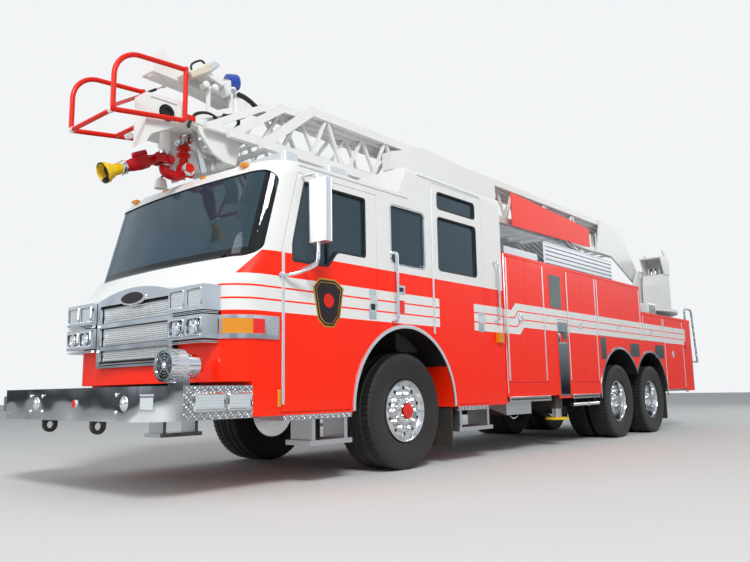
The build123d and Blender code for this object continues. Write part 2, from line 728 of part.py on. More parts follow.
# Axles with their springs
beam_low = front_tyre_r - 95
eye_r = 62
eye_half = 60
beam_half = kingpin_y - eye_r - 18
rear_flange_y = 560
leaf_y = (rail_y - rail_flange + 6, rail_y)
with BuildPart() as axles:
    block((front_axle_x - 45, front_axle_x + 45), (-beam_half, beam_half), (beam_low, beam_low + 100))
    for side in (1, -1):
        rod((front_axle_x, side * kingpin_y, front_tyre_r), eye_r, 2 * eye_half, (0, 0, 1))
        block(
            (front_axle_x - 45, front_axle_x + 45),
            side_span(side, beam_half - 80, beam_half),
            (beam_low, front_tyre_r + 50),
        )
        block(
            (front_axle_x - 45, front_axle_x + 45),
            side_span(side, beam_half - 40, kingpin_y),
            (front_tyre_r - 50, front_tyre_r + 50),
        )
        rod(
            (front_axle_x, side * kingpin_y, front_tyre_r),
            kingpin_r + spindle_fit,
            2 * eye_half + 2,
            (0, 0, 1),
            Mode.SUBTRACT,
        )
        # Front springs: three leaves and two hangers
        for step, reach in enumerate((760, 560, 360)):
            low = beam_low + 100 + (2 - step) * 22
            block((front_axle_x - reach, front_axle_x + reach), side_span(side, *leaf_y), (low, low + 22))
        for x in (-720, 690):
            hanger_z = (beam_low + 160, rail_top - rail_height)
            block((front_axle_x + x, front_axle_x + x + 40), side_span(side, *leaf_y), hanger_z)
    for x in rear_axle_x:
        rod((x, 0, rear_tyre_r), 80, 2 * rear_flange_y, (0, 1, 0))
        rod((x, 0, rear_tyre_r), 205, 270, (1, 0, 0))
        for side in (1, -1):
            rod((x, side * (rear_flange_y - 15), rear_tyre_r), 150, 30, (0, 1, 0))
            rod((x, side * 850, rear_tyre_r), spindle_r, 580, (0, 1, 0))
    for side in (1, -1):
        middle = sum(rear_axle_x) / 2
        for step, reach in enumerate((980, 860, 740)):
            low = rear_tyre_r + 74 + step * 22
            block((middle - reach, middle + reach), side_span(side, *leaf_y), (low, low + 22))
        hanger_z = (rear_tyre_r + 130, rail_top - rail_height)
        block((middle - 130, middle + 130), side_span(side, *leaf_y), hanger_z)
axles.part.label = "axles"
export_step(axles.part, "parts/axles.step")

# Steering knuckles
knuckle_arm = 26
for side, name in ((1, "left"), (-1, "right")):
    with BuildPart() as knuckle:
        height = eye_half + seat_gap + knuckle_arm
        rod((front_axle_x, side * kingpin_y, front_tyre_r), kingpin_r, 2 * height, (0, 0, 1))
        for up in (1, -1):
            level = front_tyre_r + up * (eye_half + seat_gap + knuckle_arm / 2)
            rod((front_axle_x, side * kingpin_y, level), eye_r, knuckle_arm, (0, 0, 1))
            span = side_span(side, kingpin_y, kingpin_y + eye_r + 40)
            arm_z = (level - knuckle_arm / 2, level + knuckle_arm / 2)
            block((front_axle_x - 50, front_axle_x + 50), span, arm_z)
        block(
            (front_axle_x - 50, front_axle_x + 50),
            side_span(side, kingpin_y + eye_r + 8, kingpin_y + eye_r + 40),
            (front_tyre_r - height, front_tyre_r + height),
        )
        near = kingpin_y + eye_r + 8
        far = front_wheel_y + 90
        rod((front_axle_x, side * (near + far) / 2, front_tyre_r), spindle_r, far - near, (0, 1, 0))
    knuckle.part.label = f"knuckle_{name}"
    export_step(knuckle.part, f"parts/knuckle_{name}.step")


def wheel_plane(x, z):
    """The plane through a wheel's axis whose drawing axes are Y and Z from that axis."""
    return Plane(origin=(x, 0, z), x_dir=(0, 1, 0), z_dir=(1, 0, 0))


def tyre(x, y, radius, width):
    """A tyre around an axle line, from its bead to its tread."""
    half = width / 2
    shoulder = 0.86 * half
    bulge = (rim_r + radius) / 2 + 10
    with BuildSketch(wheel_plane(x, radius)) as section:
        with BuildLine():
            Polyline(
                (y - 0.78 * half, rim_r + seat_gap),
                (y + 0.78 * half, rim_r + seat_gap),
                (y + half, bulge),
                (y + half - 4, radius - 55),
                (y + shoulder, radius),
                (y - shoulder, radius),
                (y - half + 4, radius - 55),
                (y - half, bulge),
                close=True,
            )
        make_face()
    revolve(section.sketch, axis=Axis((x, 0, radius), (0, 1, 0)))


def turned(x, radius, points):
    """A ring turned about an axle line from its outline in Y and distance from the axis."""
    with BuildSketch(wheel_plane(x, radius)) as section:
        with BuildLine():
            Polyline(*points, close=True)
        make_face()
    revolve(section.sketch, axis=Axis((x, 0, radius), (0, 1, 0)))


def hand_holes(x, y, radius, depth):
    """A ring of round holes through a wheel's disc."""
    ring = [
        (
            x + hand_hole_ring * cos(2 * pi * step / hand_hole_count),
            y,
            radius + hand_hole_ring * sin(2 * pi * step / hand_hole_count),
        )
        for step in range(hand_hole_count)
    ]
    places = [Plane(origin=place, z_dir=(0, 1, 0)) for place in ring]
    with Locations(*places):
        Cylinder(hand_hole_r, depth, mode=Mode.SUBTRACT)


# Wheels: a tyre and a polished wheel each, two of both on a rear axle end
hub_bore = spindle_r + spindle_fit
hand_hole_r = 24
hand_hole_ring = 192
hand_hole_count = 10
for side, name in ((1, "left"), (-1, "right")):
    with BuildPart() as front_wheel:
        tyre(front_axle_x, side * front_wheel_y, front_tyre_r, front_tyre_w)
        barrel = front_wheel_y - 0.78 * front_tyre_w / 2
        face = front_wheel_y + 0.78 * front_tyre_w / 2
        outline = (
            (barrel, 262),
            (barrel, rim_r),
            (face, rim_r),
            (face, 262),
            (face - 70, 235),
            (face - 40, 150),
            (face + 60, 120),
            (face + 60, 0),
            (face - 70, 0),
            (face - 70, hub_bore),
            (front_wheel_y - 75, hub_bore),
            (front_wheel_y - 75, 105),
            (face - 110, 120),
            (face - 110, 262),
        )
        turned(front_axle_x, front_tyre_r, [(side * y, r) for y, r in outline])
        hand_holes(front_axle_x, side * (face - 75), front_tyre_r, 110)
    front_wheel.part.label = f"front_wheel_{name}"
    export_step(front_wheel.part, f"parts/front_wheel_{name}.step")

    for place, x in (("1", rear_axle_x[0]), ("2", rear_axle_x[1])):
        with BuildPart() as rear_wheel:
            for y in rear_wheel_y:
                tyre(x, side * y, rear_tyre_r, rear_tyre_w)
            inner = rear_wheel_y[0] - 0.78 * rear_tyre_w / 2
            outer = rear_wheel_y[1] + 0.78 * rear_tyre_w / 2
            disc = sum(rear_wheel_y) / 2
            outline = (
                (inner, 262),
                (inner, rim_r),
                (outer, rim_r),
                (outer, 262),
                (disc + 20, 250),
                (disc + 20, 120),
                (outer - 30, 105),
                (outer - 30, 0),
                (1142, 0),
                (1142, hub_bore),
                (rear_flange_y + 6, hub_bore),
                (rear_flange_y + 6, 110),
                (disc - 20, 120),
                (disc - 20, 262),
            )
            turned(x, rear_tyre_r, [(side * y, r) for y, r in outline])
            hand_holes(x, side * disc, rear_tyre_r, 60)
        rear_wheel.part.label = f"rear_wheel_{place}_{name}"
        export_step(rear_wheel.part, f"parts/rear_wheel_{place}_{name}.step")

# Under the body: tanks, silencer, drive shaft and mud flaps
tank_x = (front_axle_x - 2450, front_axle_x - 1860)
tank_z = (450, body_bottom_z - seat_gap)
air_tank_r = 100
shaft_r = 30
shaft_z = 745
shaft_bend_x = front_axle_x - 3560
shaft_end = (rear_axle_x[0] + 135 + seat_gap, 570)
silencer_r = 105
flap_t = 15
with BuildPart() as underbody:
    for side in (1, -1):
        block(tank_x, side_span(side, 560, 1200), tank_z)
        flap_x = (front_axle_x - 760, front_axle_x - 760 + flap_t)
        block(flap_x, side_span(side, 780, 1200), (165, cab_bottom - seat_gap))
        flap_x = (rear_axle_x[1] - 640, rear_axle_x[1] - 640 + flap_t)
        block(flap_x, side_span(side, 640, 1210), (200, body_bottom_z - seat_gap))
        air_tank = (front_axle_x - 2050, side * 385, rail_top - rail_height - seat_gap - air_tank_r)
        rod(air_tank, air_tank_r, 620, (1, 0, 0))
    middle = ((engine_x[0] - seat_gap + shaft_bend_x) / 2, 0, shaft_z)
    rod(middle, shaft_r, engine_x[0] - seat_gap - shaft_bend_x, (1, 0, 0))
    rod((shaft_bend_x, 0, shaft_z), shaft_r + 8, 90, (0, 1, 0))
    bar((shaft_bend_x, 0, shaft_z), (shaft_end[0] + 90, 0, shaft_end[1]), 2 * shaft_r, 2 * shaft_r)
    rod((shaft_end[0] + 60, 0, shaft_end[1]), shaft_r + 20, 120, (1, 0, 0))
    silencer = (front_axle_x - 3980, -820, body_bottom_z - seat_gap - silencer_r)
    rod(silencer, silencer_r, 620, (1, 0, 0))
    rod((silencer[0] - 180, -1010, silencer[2] - 30), 42, 400, (0, 1, 0))
underbody.part.label = "underbody"
export_step(underbody.part, "parts/underbody.step")

# Body shell: lockers, deck, wheel arches and the opening for the ladder's pedestal
inner_y = half_width - locker_depth
body_bearers = [front_axle_x + x for x in (-2000, -2900, -3700, -4500, -8250)]
bearer_h = 90
with BuildPart() as body:
    prism(
        (
            (body_front_x, body_bottom_z),
            (body_front_x, body_top_z),
            (body_step_x, body_top_z),
            (body_step_x, deck_z),
            (body_rear_x, deck_z),
            (body_rear_x, body_bottom_z),
        ),
        side_plane(half_width),
        2 * half_width,
    )
    # The space in the middle, open at the front under the cab and at the rear
    space_y = (-inner_y + body_wall, inner_y - body_wall)
    for space_x, high in (
        ((body_step_x + body_wall, body_front_x - body_wall), body_top_z - deck_t),
        ((body_rear_x, body_step_x + body_wall + 1), deck_z - deck_t),
        ((body_front_x - body_wall - 1, body_front_x), 1100),
    ):
        block(space_x, space_y, (0, high), Mode.SUBTRACT)
    with Locations((turntable_x, 0, deck_z - deck_t / 2)):
        Cylinder(pedestal_r + door_gap, deck_t + 2, mode=Mode.SUBTRACT)
    # Cross bearers that rest on the frame rails
    for x in body_bearers:
        bearer_z = (rail_top + seat_gap, rail_top + bearer_h)
        block((x - 40, x + 40), (-inner_y - 1, inner_y + 1), bearer_z)
    for side in (1, -1):
        for _, front, rear, low, high in body_doors:
            block((rear, front), side_span(side, inner_y, half_width), (low, high), Mode.SUBTRACT)
            frame_x = (rear - door_gap, front + door_gap)
            frame_y = side_span(side, half_width - door_t - 1, half_width)
            block(frame_x, frame_y, (low - door_gap, high + door_gap), Mode.SUBTRACT)
        for x, z, radius in fender_arches:
            mid = (tunnel_half + half_width) / 2
            rod((x, side * mid, z), radius, half_width - tunnel_half, (0, 1, 0), Mode.SUBTRACT)
        low_x = fender_arches[1][0] - fender_arches[1][2]
        high_x = fender_arches[0][0] + fender_arches[0][2]
        gap_y = side_span(side, tunnel_half, half_width)
        block((low_x, high_x), gap_y, (0, fender_arches[0][1]), Mode.SUBTRACT)
        # Outrigger bay
        bay_x = (panel_x[1] - joint_gap, panel_x[0] + joint_gap)
        block(bay_x, side_span(side, inner_y, half_width), (0, panel_z[1] + joint_gap), Mode.SUBTRACT)
body.part.label = "body"
export_step(body.part, "parts/body.step")

# Body doors: a handle in a round dish, a seam down the middle and a strip on the rear edge
handle_r = 52
handle_depth = 14
handle_x = {"a": -2200, "b": -3860, "c": -5200, "d": -6590, "e": -7573}
handle_z = {"a": 1600, "b": 1600, "c": 1640, "d": 1640, "e": 1305}
seam_w = 6
seam_depth = 8
strip_w = 26
strip_t = 5
for side, name in ((1, "left"), (-1, "right")):
    for letter, front, rear, low, high in body_doors:
        with BuildPart() as leaf:
            skin_y = side_span(side, half_width - door_t, half_width)
            block((rear, front), skin_y, (low, high))
            hinge(side, front, low + 20, high - 20)
            strip_y = side_span(side, half_width - 1, half_width + strip_t)
            block((rear, rear + strip_w), strip_y, (low + 20, high - 20))
            seam_x = (front + rear) / 2
            seam_y = side_span(side, half_width - seam_depth, half_width)
            block((seam_x - seam_w / 2, seam_x + seam_w / 2), seam_y, (low, high), Mode.SUBTRACT)
            x = front_axle_x + handle_x[letter]
            z = handle_z[letter]
            rod((x, side * half_width, z), handle_r, 2 * handle_depth, (0, 1, 0), Mode.SUBTRACT)
            block((x - 12, x + 12), skin_y, (z - handle_r - 4, z + handle_r + 4))
        leaf.part.label = f"locker_door_{letter}_{name}"
        export_step(leaf.part, f"parts/locker_door_{letter}_{name}.step")

# Slatted lockers on the body's top and the ladder's bed
coaming_x = (front_axle_x - 5120, front_axle_x - 2900)
coaming_y = (830, half_width - 10)
coaming_top = 2665
coaming_slats = 5
slat_gap = 14
slat_groove = 22
low_coaming_x = (body_front_x - 900, body_front_x - 60)
cradle_x = front_axle_x - 2350
with BuildPart() as top_lockers:
    for side in (1, -1):
        block(coaming_x, side_span(side, *coaming_y), (body_top_z, coaming_top))
        block(low_coaming_x, side_span(side, *coaming_y), (body_top_z, body_top_z + 90))
        pitch = (coaming_top - body_top_z) / coaming_slats
        for step in range(coaming_slats):
            groove_z = body_top_z + pitch * step
            groove_y = side_span(side, coaming_y[1] - slat_groove, coaming_y[1])
            block(
                (coaming_x[0] + 30, coaming_x[1] - 60),
                groove_y,
                (groove_z, groove_z + slat_gap),
                Mode.SUBTRACT,
            )
        # Lids with a rim that overhangs the sides
        lid_z = (coaming_top - 1, coaming_top + 12)
        for step in range(2):
            length = (coaming_x[1] - coaming_x[0]) / 2
            lid_x = (coaming_x[0] + step * length + 4, coaming_x[0] + (step + 1) * length - 4)
            block(lid_x, side_span(side, coaming_y[0] - 6, coaming_y[1] + 6), lid_z)
top_lockers.part.label = "top_lockers"
export_step(top_lockers.part, "parts/top_lockers.step")

cradle_top = ladder_sections[0][1] - door_gap
with BuildPart() as cradle:
    for side in (1, -1):
        block((cradle_x - 60, cradle_x + 60), side_span(side, 480, 600), (body_top_z, cradle_top))
        block((cradle_x - 110, cradle_x + 110), side_span(side, 440, 620), (cradle_top - 30, cradle_top))
    block((cradle_x - 50, cradle_x + 50), (-500, 500), (body_top_z + 300, body_top_z + 400))
cradle.part.label = "ladder_cradle"
export_step(cradle.part, "parts/ladder_cradle.step")

# Bright trim: arch rims, mirrored panels, lamps and grab bars
trim_t = 12
trim_w = 34
grab_reach = half_width + 75
grab_d = 32

# Mirrored panels on the body's sides: front edge, rear edge, bottom, top
mirror_panels = (
    (front_axle_x - 2980, front_axle_x - 3300, 1800, 2235),
    (front_axle_x - 4495, front_axle_x - 4690, 1160, 1475),
    (front_axle_x - 5600, front_axle_x - 5980, 1220, 1425),
    (front_axle_x - 6680, front_axle_x - 7100, 1220, 1440),
)
panel_sheet = 6
side_lamps = ((front_axle_x - 1679, 1340), (front_axle_x - 8290, 1500))
tail_lamp_z = (1080, 1240, 1400)
tail_lamp_y = (1040, 1200)


def arch_rim(low_y, arches, cut_z):
    """A flat rim round the tops of a row of wheel arches."""
    with BuildSketch(side_plane(low_y + trim_t)) as rim:
        for x, z, radius in arches:
            with Locations((x, z)):
                Circle(radius + trim_w)
        for x, z, radius in arches:
            with Locations((x, z)):
                Circle(radius, mode=Mode.SUBTRACT)
        with Locations((arches[0][0], cut_z - 2 * arch_r)):
            Rectangle(8 * arch_r, 4 * arch_r, mode=Mode.SUBTRACT)
    extrude(rim.sketch, amount=trim_t)


with BuildPart() as bright_trim:
    for side in (1, -1):
        low_y = min(side_span(side, half_width, half_width + trim_t))
        arch_rim(low_y, ((arch_x, arch_z, arch_r),), arch_z)
        arch_rim(low_y, fender_arches, 600)
        for front, rear, low, high in mirror_panels:
            block((rear, front), side_span(side, half_width, half_width + panel_sheet), (low, high))
        for x, z in side_lamps:
            block((x - 55, x + 55), side_span(side, half_width, half_width + 38), (z - 55, z + 55))
        # Grab bars beside the doors
        for x, low, high in ((front_axle_x + 265, 1420, 2080), (front_axle_x - 1600, 1550, 2220)):
            route = [
                (x, side * reach, z)
                for reach, z in (
                    (half_width, low),
                    (grab_reach, low),
                    (grab_reach, high),
                    (half_width, high),
                )
            ]
            pipe(route, grab_d, 30)
        # Tail lamps in a column on the rear wall
        lamp_x = (body_rear_x - 34, body_rear_x - seat_gap)
        block((body_rear_x - 12, lamp_x[1]), side_span(side, *tail_lamp_y), (980, 1500))
        for z in tail_lamp_z:
            rod((body_rear_x - 22, side * sum(tail_lamp_y) / 2, z), 62, 24, (1, 0, 0))
bright_trim.part.label = "bright_trim"
export_step(bright_trim.part, "parts/bright_trim.step")

# Steps under the doors and the ladder at the rear: upper tread, lower tread
step_y = (950, half_width)
cab_steps = (
    ((front_axle_x + 1650, front_axle_x + 850), (front_axle_x + 1360, front_axle_x + 850)),
    ((front_axle_x - 810, front_axle_x - 1410), (front_axle_x - 810, front_axle_x - 1470)),
)
tread_t = 42
low_step_z = 320
rear_ladder_y = (560, 980)
rear_ladder_run = 370
rear_ladder_low = 640
rear_steps = 5
handrail_y = 1190
with BuildPart() as steps:
    for side in (1, -1):
        for upper, lower in cab_steps:
            upper_z = (cab_bottom - seat_gap - tread_t, cab_bottom - seat_gap)
            block(upper, side_span(side, *step_y), upper_z)
            block(lower, side_span(side, *step_y), (low_step_z, low_step_z + tread_t))
            for x in (lower[0] - 60, lower[1] + 60):
                hanger_y = side_span(side, step_y[0] + 20, step_y[1] - 20)
                block((x - 20, x + 20), hanger_y, (low_step_z + tread_t - 1, upper_z[0] + 1))
    for y in rear_ladder_y:
        head = (body_rear_x - 60, y, deck_z - 10)
        foot = (body_rear_x - 60 - rear_ladder_run, y, rear_ladder_low)
        bar(head, foot, 40, 70)
    for step in range(rear_steps):
        share = (step + 0.5) / rear_steps
        x = body_rear_x - 60 - rear_ladder_run * share
        z = deck_z - 10 - (deck_z - rear_ladder_low - 10) * share
        block((x - 55, x + 55), rear_ladder_y, (z - 15, z + 15))
    head_y = (rear_ladder_y[0] - 20, rear_ladder_y[1] + 20)
    block((body_rear_x - 60, body_rear_x - seat_gap), head_y, (deck_z - 60, deck_z - 20))
    pipe(
        (
            (body_rear_x + 60, handrail_y, deck_z + seat_gap),
            (body_rear_x + 60, handrail_y, deck_z + 230),
            (body_rear_x - 330, handrail_y, deck_z + 230),
            (body_rear_x - 480, handrail_y, 1180),
        ),
        36,
        90,
    )
    # The handrail's foot reaches back to the ladder's stile
    bar((body_rear_x - 478, handrail_y, 1200), (body_rear_x - 300, rear_ladder_y[1], 1200), 30, 30)
steps.part.label = "steps"
export_step(steps.part, "parts/steps.step")

# Roof lights: front edge, rear edge, inner and outer side, and the height of each bar
light_bars = (
    (front_axle_x + 1560, front_axle_x + 1350, 400, 1150, 118),
    (front_axle_x + 1050, front_axle_x + 740, 1000, 1180, 96),
)
light_base = 24
light_r = 60
with BuildPart() as roof_lights:
    for side in (1, -1):
        for front, rear, near, far, high in light_bars:
            centre = ((front + rear) / 2, side * (near + far) / 2)
            with BuildSketch(Plane.XY.offset(roof_z + seat_gap)) as plan:
                with Locations(centre):
                    RectangleRounded(front - rear, far - near, light_r)
            extrude(plan.sketch, amount=light_base)
            with BuildSketch(Plane.XY.offset(roof_z + light_base)) as lens:
                with Locations(centre):
                    RectangleRounded(front - rear - 16, far - near - 16, light_r - 8)
            extrude(lens.sketch, amount=high - light_base, taper=8)
roof_lights.part.label = "roof_lights"
export_step(roof_lights.part, "parts/roof_lights.step")

# Pedestal on the frame
with BuildPart() as pedestal:
    with Locations((turntable_x, 0, (rail_top + pedestal_top) / 2)):
        Cylinder(pedestal_r, pedestal_top - rail_top)
    with Locations((turntable_x, 0, pedestal_top - 30)):
        Cylinder(pedestal_r - 90, 62, mode=Mode.SUBTRACT)
pedestal.part.label = "pedestal"
export_step(pedestal.part, "parts/pedestal.step")

# Turntable: platform, bearing ring and pylon
platform_z = (pedestal_top + seat_gap, pedestal_top + seat_gap + platform_t)
with BuildPart() as turntable:
    with Locations((turntable_x, 0, sum(platform_z) / 2)):
        Cylinder(turntable_r, platform_t)
    with Locations((turntable_x, 0, platform_z[0] - 20)):
        Cylinder(pedestal_r - 90 - joint_gap, 41)
    for side in (1, -1):
        y = side * pylon_y if side == -1 else pylon_y + pylon_t
        prism(
            (
                (heel_x + 800, platform_z[1] - 1),
                (heel_x - 260, platform_z[1] - 1),
                (heel_x - 120, heel_z + 90),
                (heel_x + 120, heel_z + 90),
            ),
            side_plane(y),
            pylon_t,
        )
        block(
            (lift_foot[0] - 90, lift_foot[0] + 90),
            side_span(side, foot_lug_y - 30, foot_lug_y),
            (platform_z[1] - 1, lift_foot[1] + 80),
        )
        heel = (heel_x, side * pylon_y, heel_z)
        rod(heel, heel_pin_r + spindle_fit, 4 * pylon_t, (0, 1, 0), Mode.SUBTRACT)
        lug = (lift_foot[0], side * foot_lug_y, lift_foot[1])
        rod(lug, lift_pin_r + spindle_fit, 100, (0, 1, 0), Mode.SUBTRACT)
    block((heel_x - 180, heel_x - 120), (-pylon_y, pylon_y), (platform_z[1] - 1, heel_z - 250))
turntable.part.label = "turntable"
export_step(turntable.part, "parts/turntable.step")

# Control console with its hood, and the turntable's rails
console_x = (front_axle_x - 8180, front_axle_x - 7750)
console_y = (730, 1085)
console_top = 3150
hood_z = 2850
rail_post_y = (-1000, -500, 500, 1000)
rail_heights = (2560, 2950)
post_top = 3330
post_d = 36
post_inset = 60


def on_rim(y):
    """The x of the turntable's rim, inset for its posts, at one y."""
    return turntable_x - sqrt((turntable_r - post_inset) ** 2 - y**2)


with BuildPart() as console:
    prism(
        (
            (console_x[0], platform_z[1] + seat_gap),
            (console_x[1], platform_z[1] + seat_gap),
            (console_x[1], hood_z - 260),
            (console_x[1] - 60, hood_z - 60),
            (console_x[0], hood_z + 40),
        ),
        side_plane(console_y[1]),
        console_y[1] - console_y[0],
    )
    # Hood over the control panel
    prism(
        (
            (console_x[0] - 20, hood_z - 40),
            (console_x[0] - 20, console_top - 60),
            (console_x[0] + 60, console_top),
            (console_x[1] + 30, console_top - 30),
            (console_x[1] + 30, console_top - 55),
            (console_x[0] + 75, console_top - 28),
            (console_x[0] + 12, console_top - 80),
            (console_x[0] + 12, hood_z - 40),
        ),
        side_plane(console_y[1] + 15),
        console_y[1] - console_y[0] + 30,
    )
    for y in (console_y[0] - 15, console_y[1] + 3):
        prism(
            (
                (console_x[0] - 20, hood_z - 40),
                (console_x[0] - 20, console_top - 60),
                (console_x[0] + 60, console_top),
                (console_x[1] + 30, console_top - 30),
                (console_x[1] - 150, hood_z - 40),
            ),
            side_plane(y + 12),
            12,
        )
    for y in (800, 900, 1000):
        lever_x = console_x[0] + 250
        rod((lever_x, y, hood_z + 15), 10, 130, (0, 0, 1))
    for y in rail_post_y:
        reach = on_rim(y)
        pipe(
            (
                (reach, y, platform_z[1] + seat_gap),
                (reach, y, post_top - 180),
                (reach + 60, y * 0.96, post_top),
            ),
            post_d,
            60,
        )
    for side in (1, -1):
        near, far = (side * abs(rail_post_y[1]), side * abs(rail_post_y[0]))
        for z in rail_heights:
            bar((on_rim(near), near, z), (on_rim(far), far, z), post_d - 8, post_d - 8)
console.part.label = "control_console"
export_step(console.part, "parts/control_console.step")


def lattice(section):
    """The rails, rungs, braces and end struts of one ladder section."""
    half, foot, top, rear, front, rail_h, rail_w = section
    strut_top_x = front - strut_run
    middle_y = half - rail_w / 2
    length = front - rear
    for side in (1, -1):
        block((rear, front), side_span(side, half - rail_w, half), (foot, foot + rail_h))
        block((rear, strut_top_x), side_span(side, half - rail_w, half), (top - rail_h, top))
        block((rear, rear + 70), side_span(side, half - rail_w, half), (foot, top))
        bar(
            (strut_top_x - 30, side * middle_y, top - rail_h / 2),
            (front - 30, side * middle_y, foot + rail_h / 2),
            rail_w,
            rail_h,
        )
    rise = top - foot - rail_h
    panels = int((strut_top_x - rear - 300) / brace_pitch)
    peaks = [strut_top_x - 260 - brace_pitch * panel for panel in range(panels)]
    for lean in (1, -1):
        slope = Vector(lean * brace_run, 0, -rise)
        places = [
            Plane(
                origin=(peak + lean * brace_run / 2, side * middle_y, (foot + top) / 2),
                x_dir=slope,
                z_dir=(0, 1, 0),
            )
            for peak in peaks
            for side in (1, -1)
        ]
        with Locations(*places):
            Box(slope.length, brace_w, brace_w)
    rungs = [rear + 120 + rung_pitch * step for step in range(int((length - 160) / rung_pitch))]
    with Locations(*[(x, 0, foot + 6 + rung_h / 2) for x in rungs]):
        Box(rung_w, 2 * half - rail_w, rung_h)


def slide_pads(outer, inner):
    """Wear pads inside an outer section's bottom rails that guide the section within it."""
    half, foot, _, _, front, rail_h, rail_w = outer
    for side in (1, -1):
        near = inner[0] + seat_gap
        pad_y = side_span(side, near, half - rail_w)
        block((front - 60 - pad_length, front - 60), pad_y, (foot + 5, foot + rail_h))


base_section, outer_section, inner_section, fly_section = ladder_sections
heel_plate_y = (base_section[0] + seat_gap, base_section[0] + 30)
shroud_y = (base_section[0] + seat_gap, 700)
with BuildPart() as ladder_base:
    lattice(base_section)
    slide_pads(base_section, outer_section)
    for side in (1, -1):
        # Lugs for the lift rods on the rails
        block(
            (lift_eye[0] - 120, lift_eye[0] + 120),
            side_span(side, base_section[0] - 5, lift_lug_y),
            (base_section[1], lift_eye[1] + 70),
        )
    # Heel plates bolted to the rails' outer sides, with the pivot pins
    for side in (1, -1):
        plate_top_y = max(side_span(side, *heel_plate_y))
        prism(
            (
                (base_section[3] + 560, base_section[2]),
                (heel_x + 660, base_section[2] - 60),
                (heel_x - 110, heel_z + 60),
                (heel_x - 110, heel_z - 110),
                (heel_x + 110, heel_z - 130),
                (base_section[3] + 160, base_section[1]),
                (base_section[3] + 760, base_section[1]),
            ),
            side_plane(plate_top_y),
            heel_plate_y[1] - heel_plate_y[0],
        )
        pin_y = (heel_plate_y[0] + 15, pylon_y + pylon_t + 15)
        rod((heel_x, side * sum(pin_y) / 2, heel_z), heel_pin_r, pin_y[1] - pin_y[0], (0, 1, 0))
    # Shrouds over the cable drums on both sides
    for side in (1, -1):
        prism(
            (
                (front_axle_x - 456, 3225),
                (front_axle_x - 456, 3430),
                (front_axle_x - 1045, 3612),
                (front_axle_x - 2650, 3540),
                (front_axle_x - 2650, 3260),
            ),
            side_plane(max(side_span(side, *shroud_y))),
            shroud_y[1] - shroud_y[0],
        )
ladder_base.part.label = "ladder_base"
export_step(ladder_base.part, "parts/ladder_base.step")

with BuildPart() as ladder_mid_outer:
    lattice(outer_section)
    slide_pads(outer_section, inner_section)
ladder_mid_outer.part.label = "ladder_mid_outer"
export_step(ladder_mid_outer.part, "parts/ladder_mid_outer.step")

with BuildPart() as ladder_mid_inner:
    lattice(inner_section)
    slide_pads(inner_section, fly_section)
ladder_mid_inner.part.label = "ladder_mid_inner"
export_step(ladder_mid_inner.part, "parts/ladder_mid_inner.step")

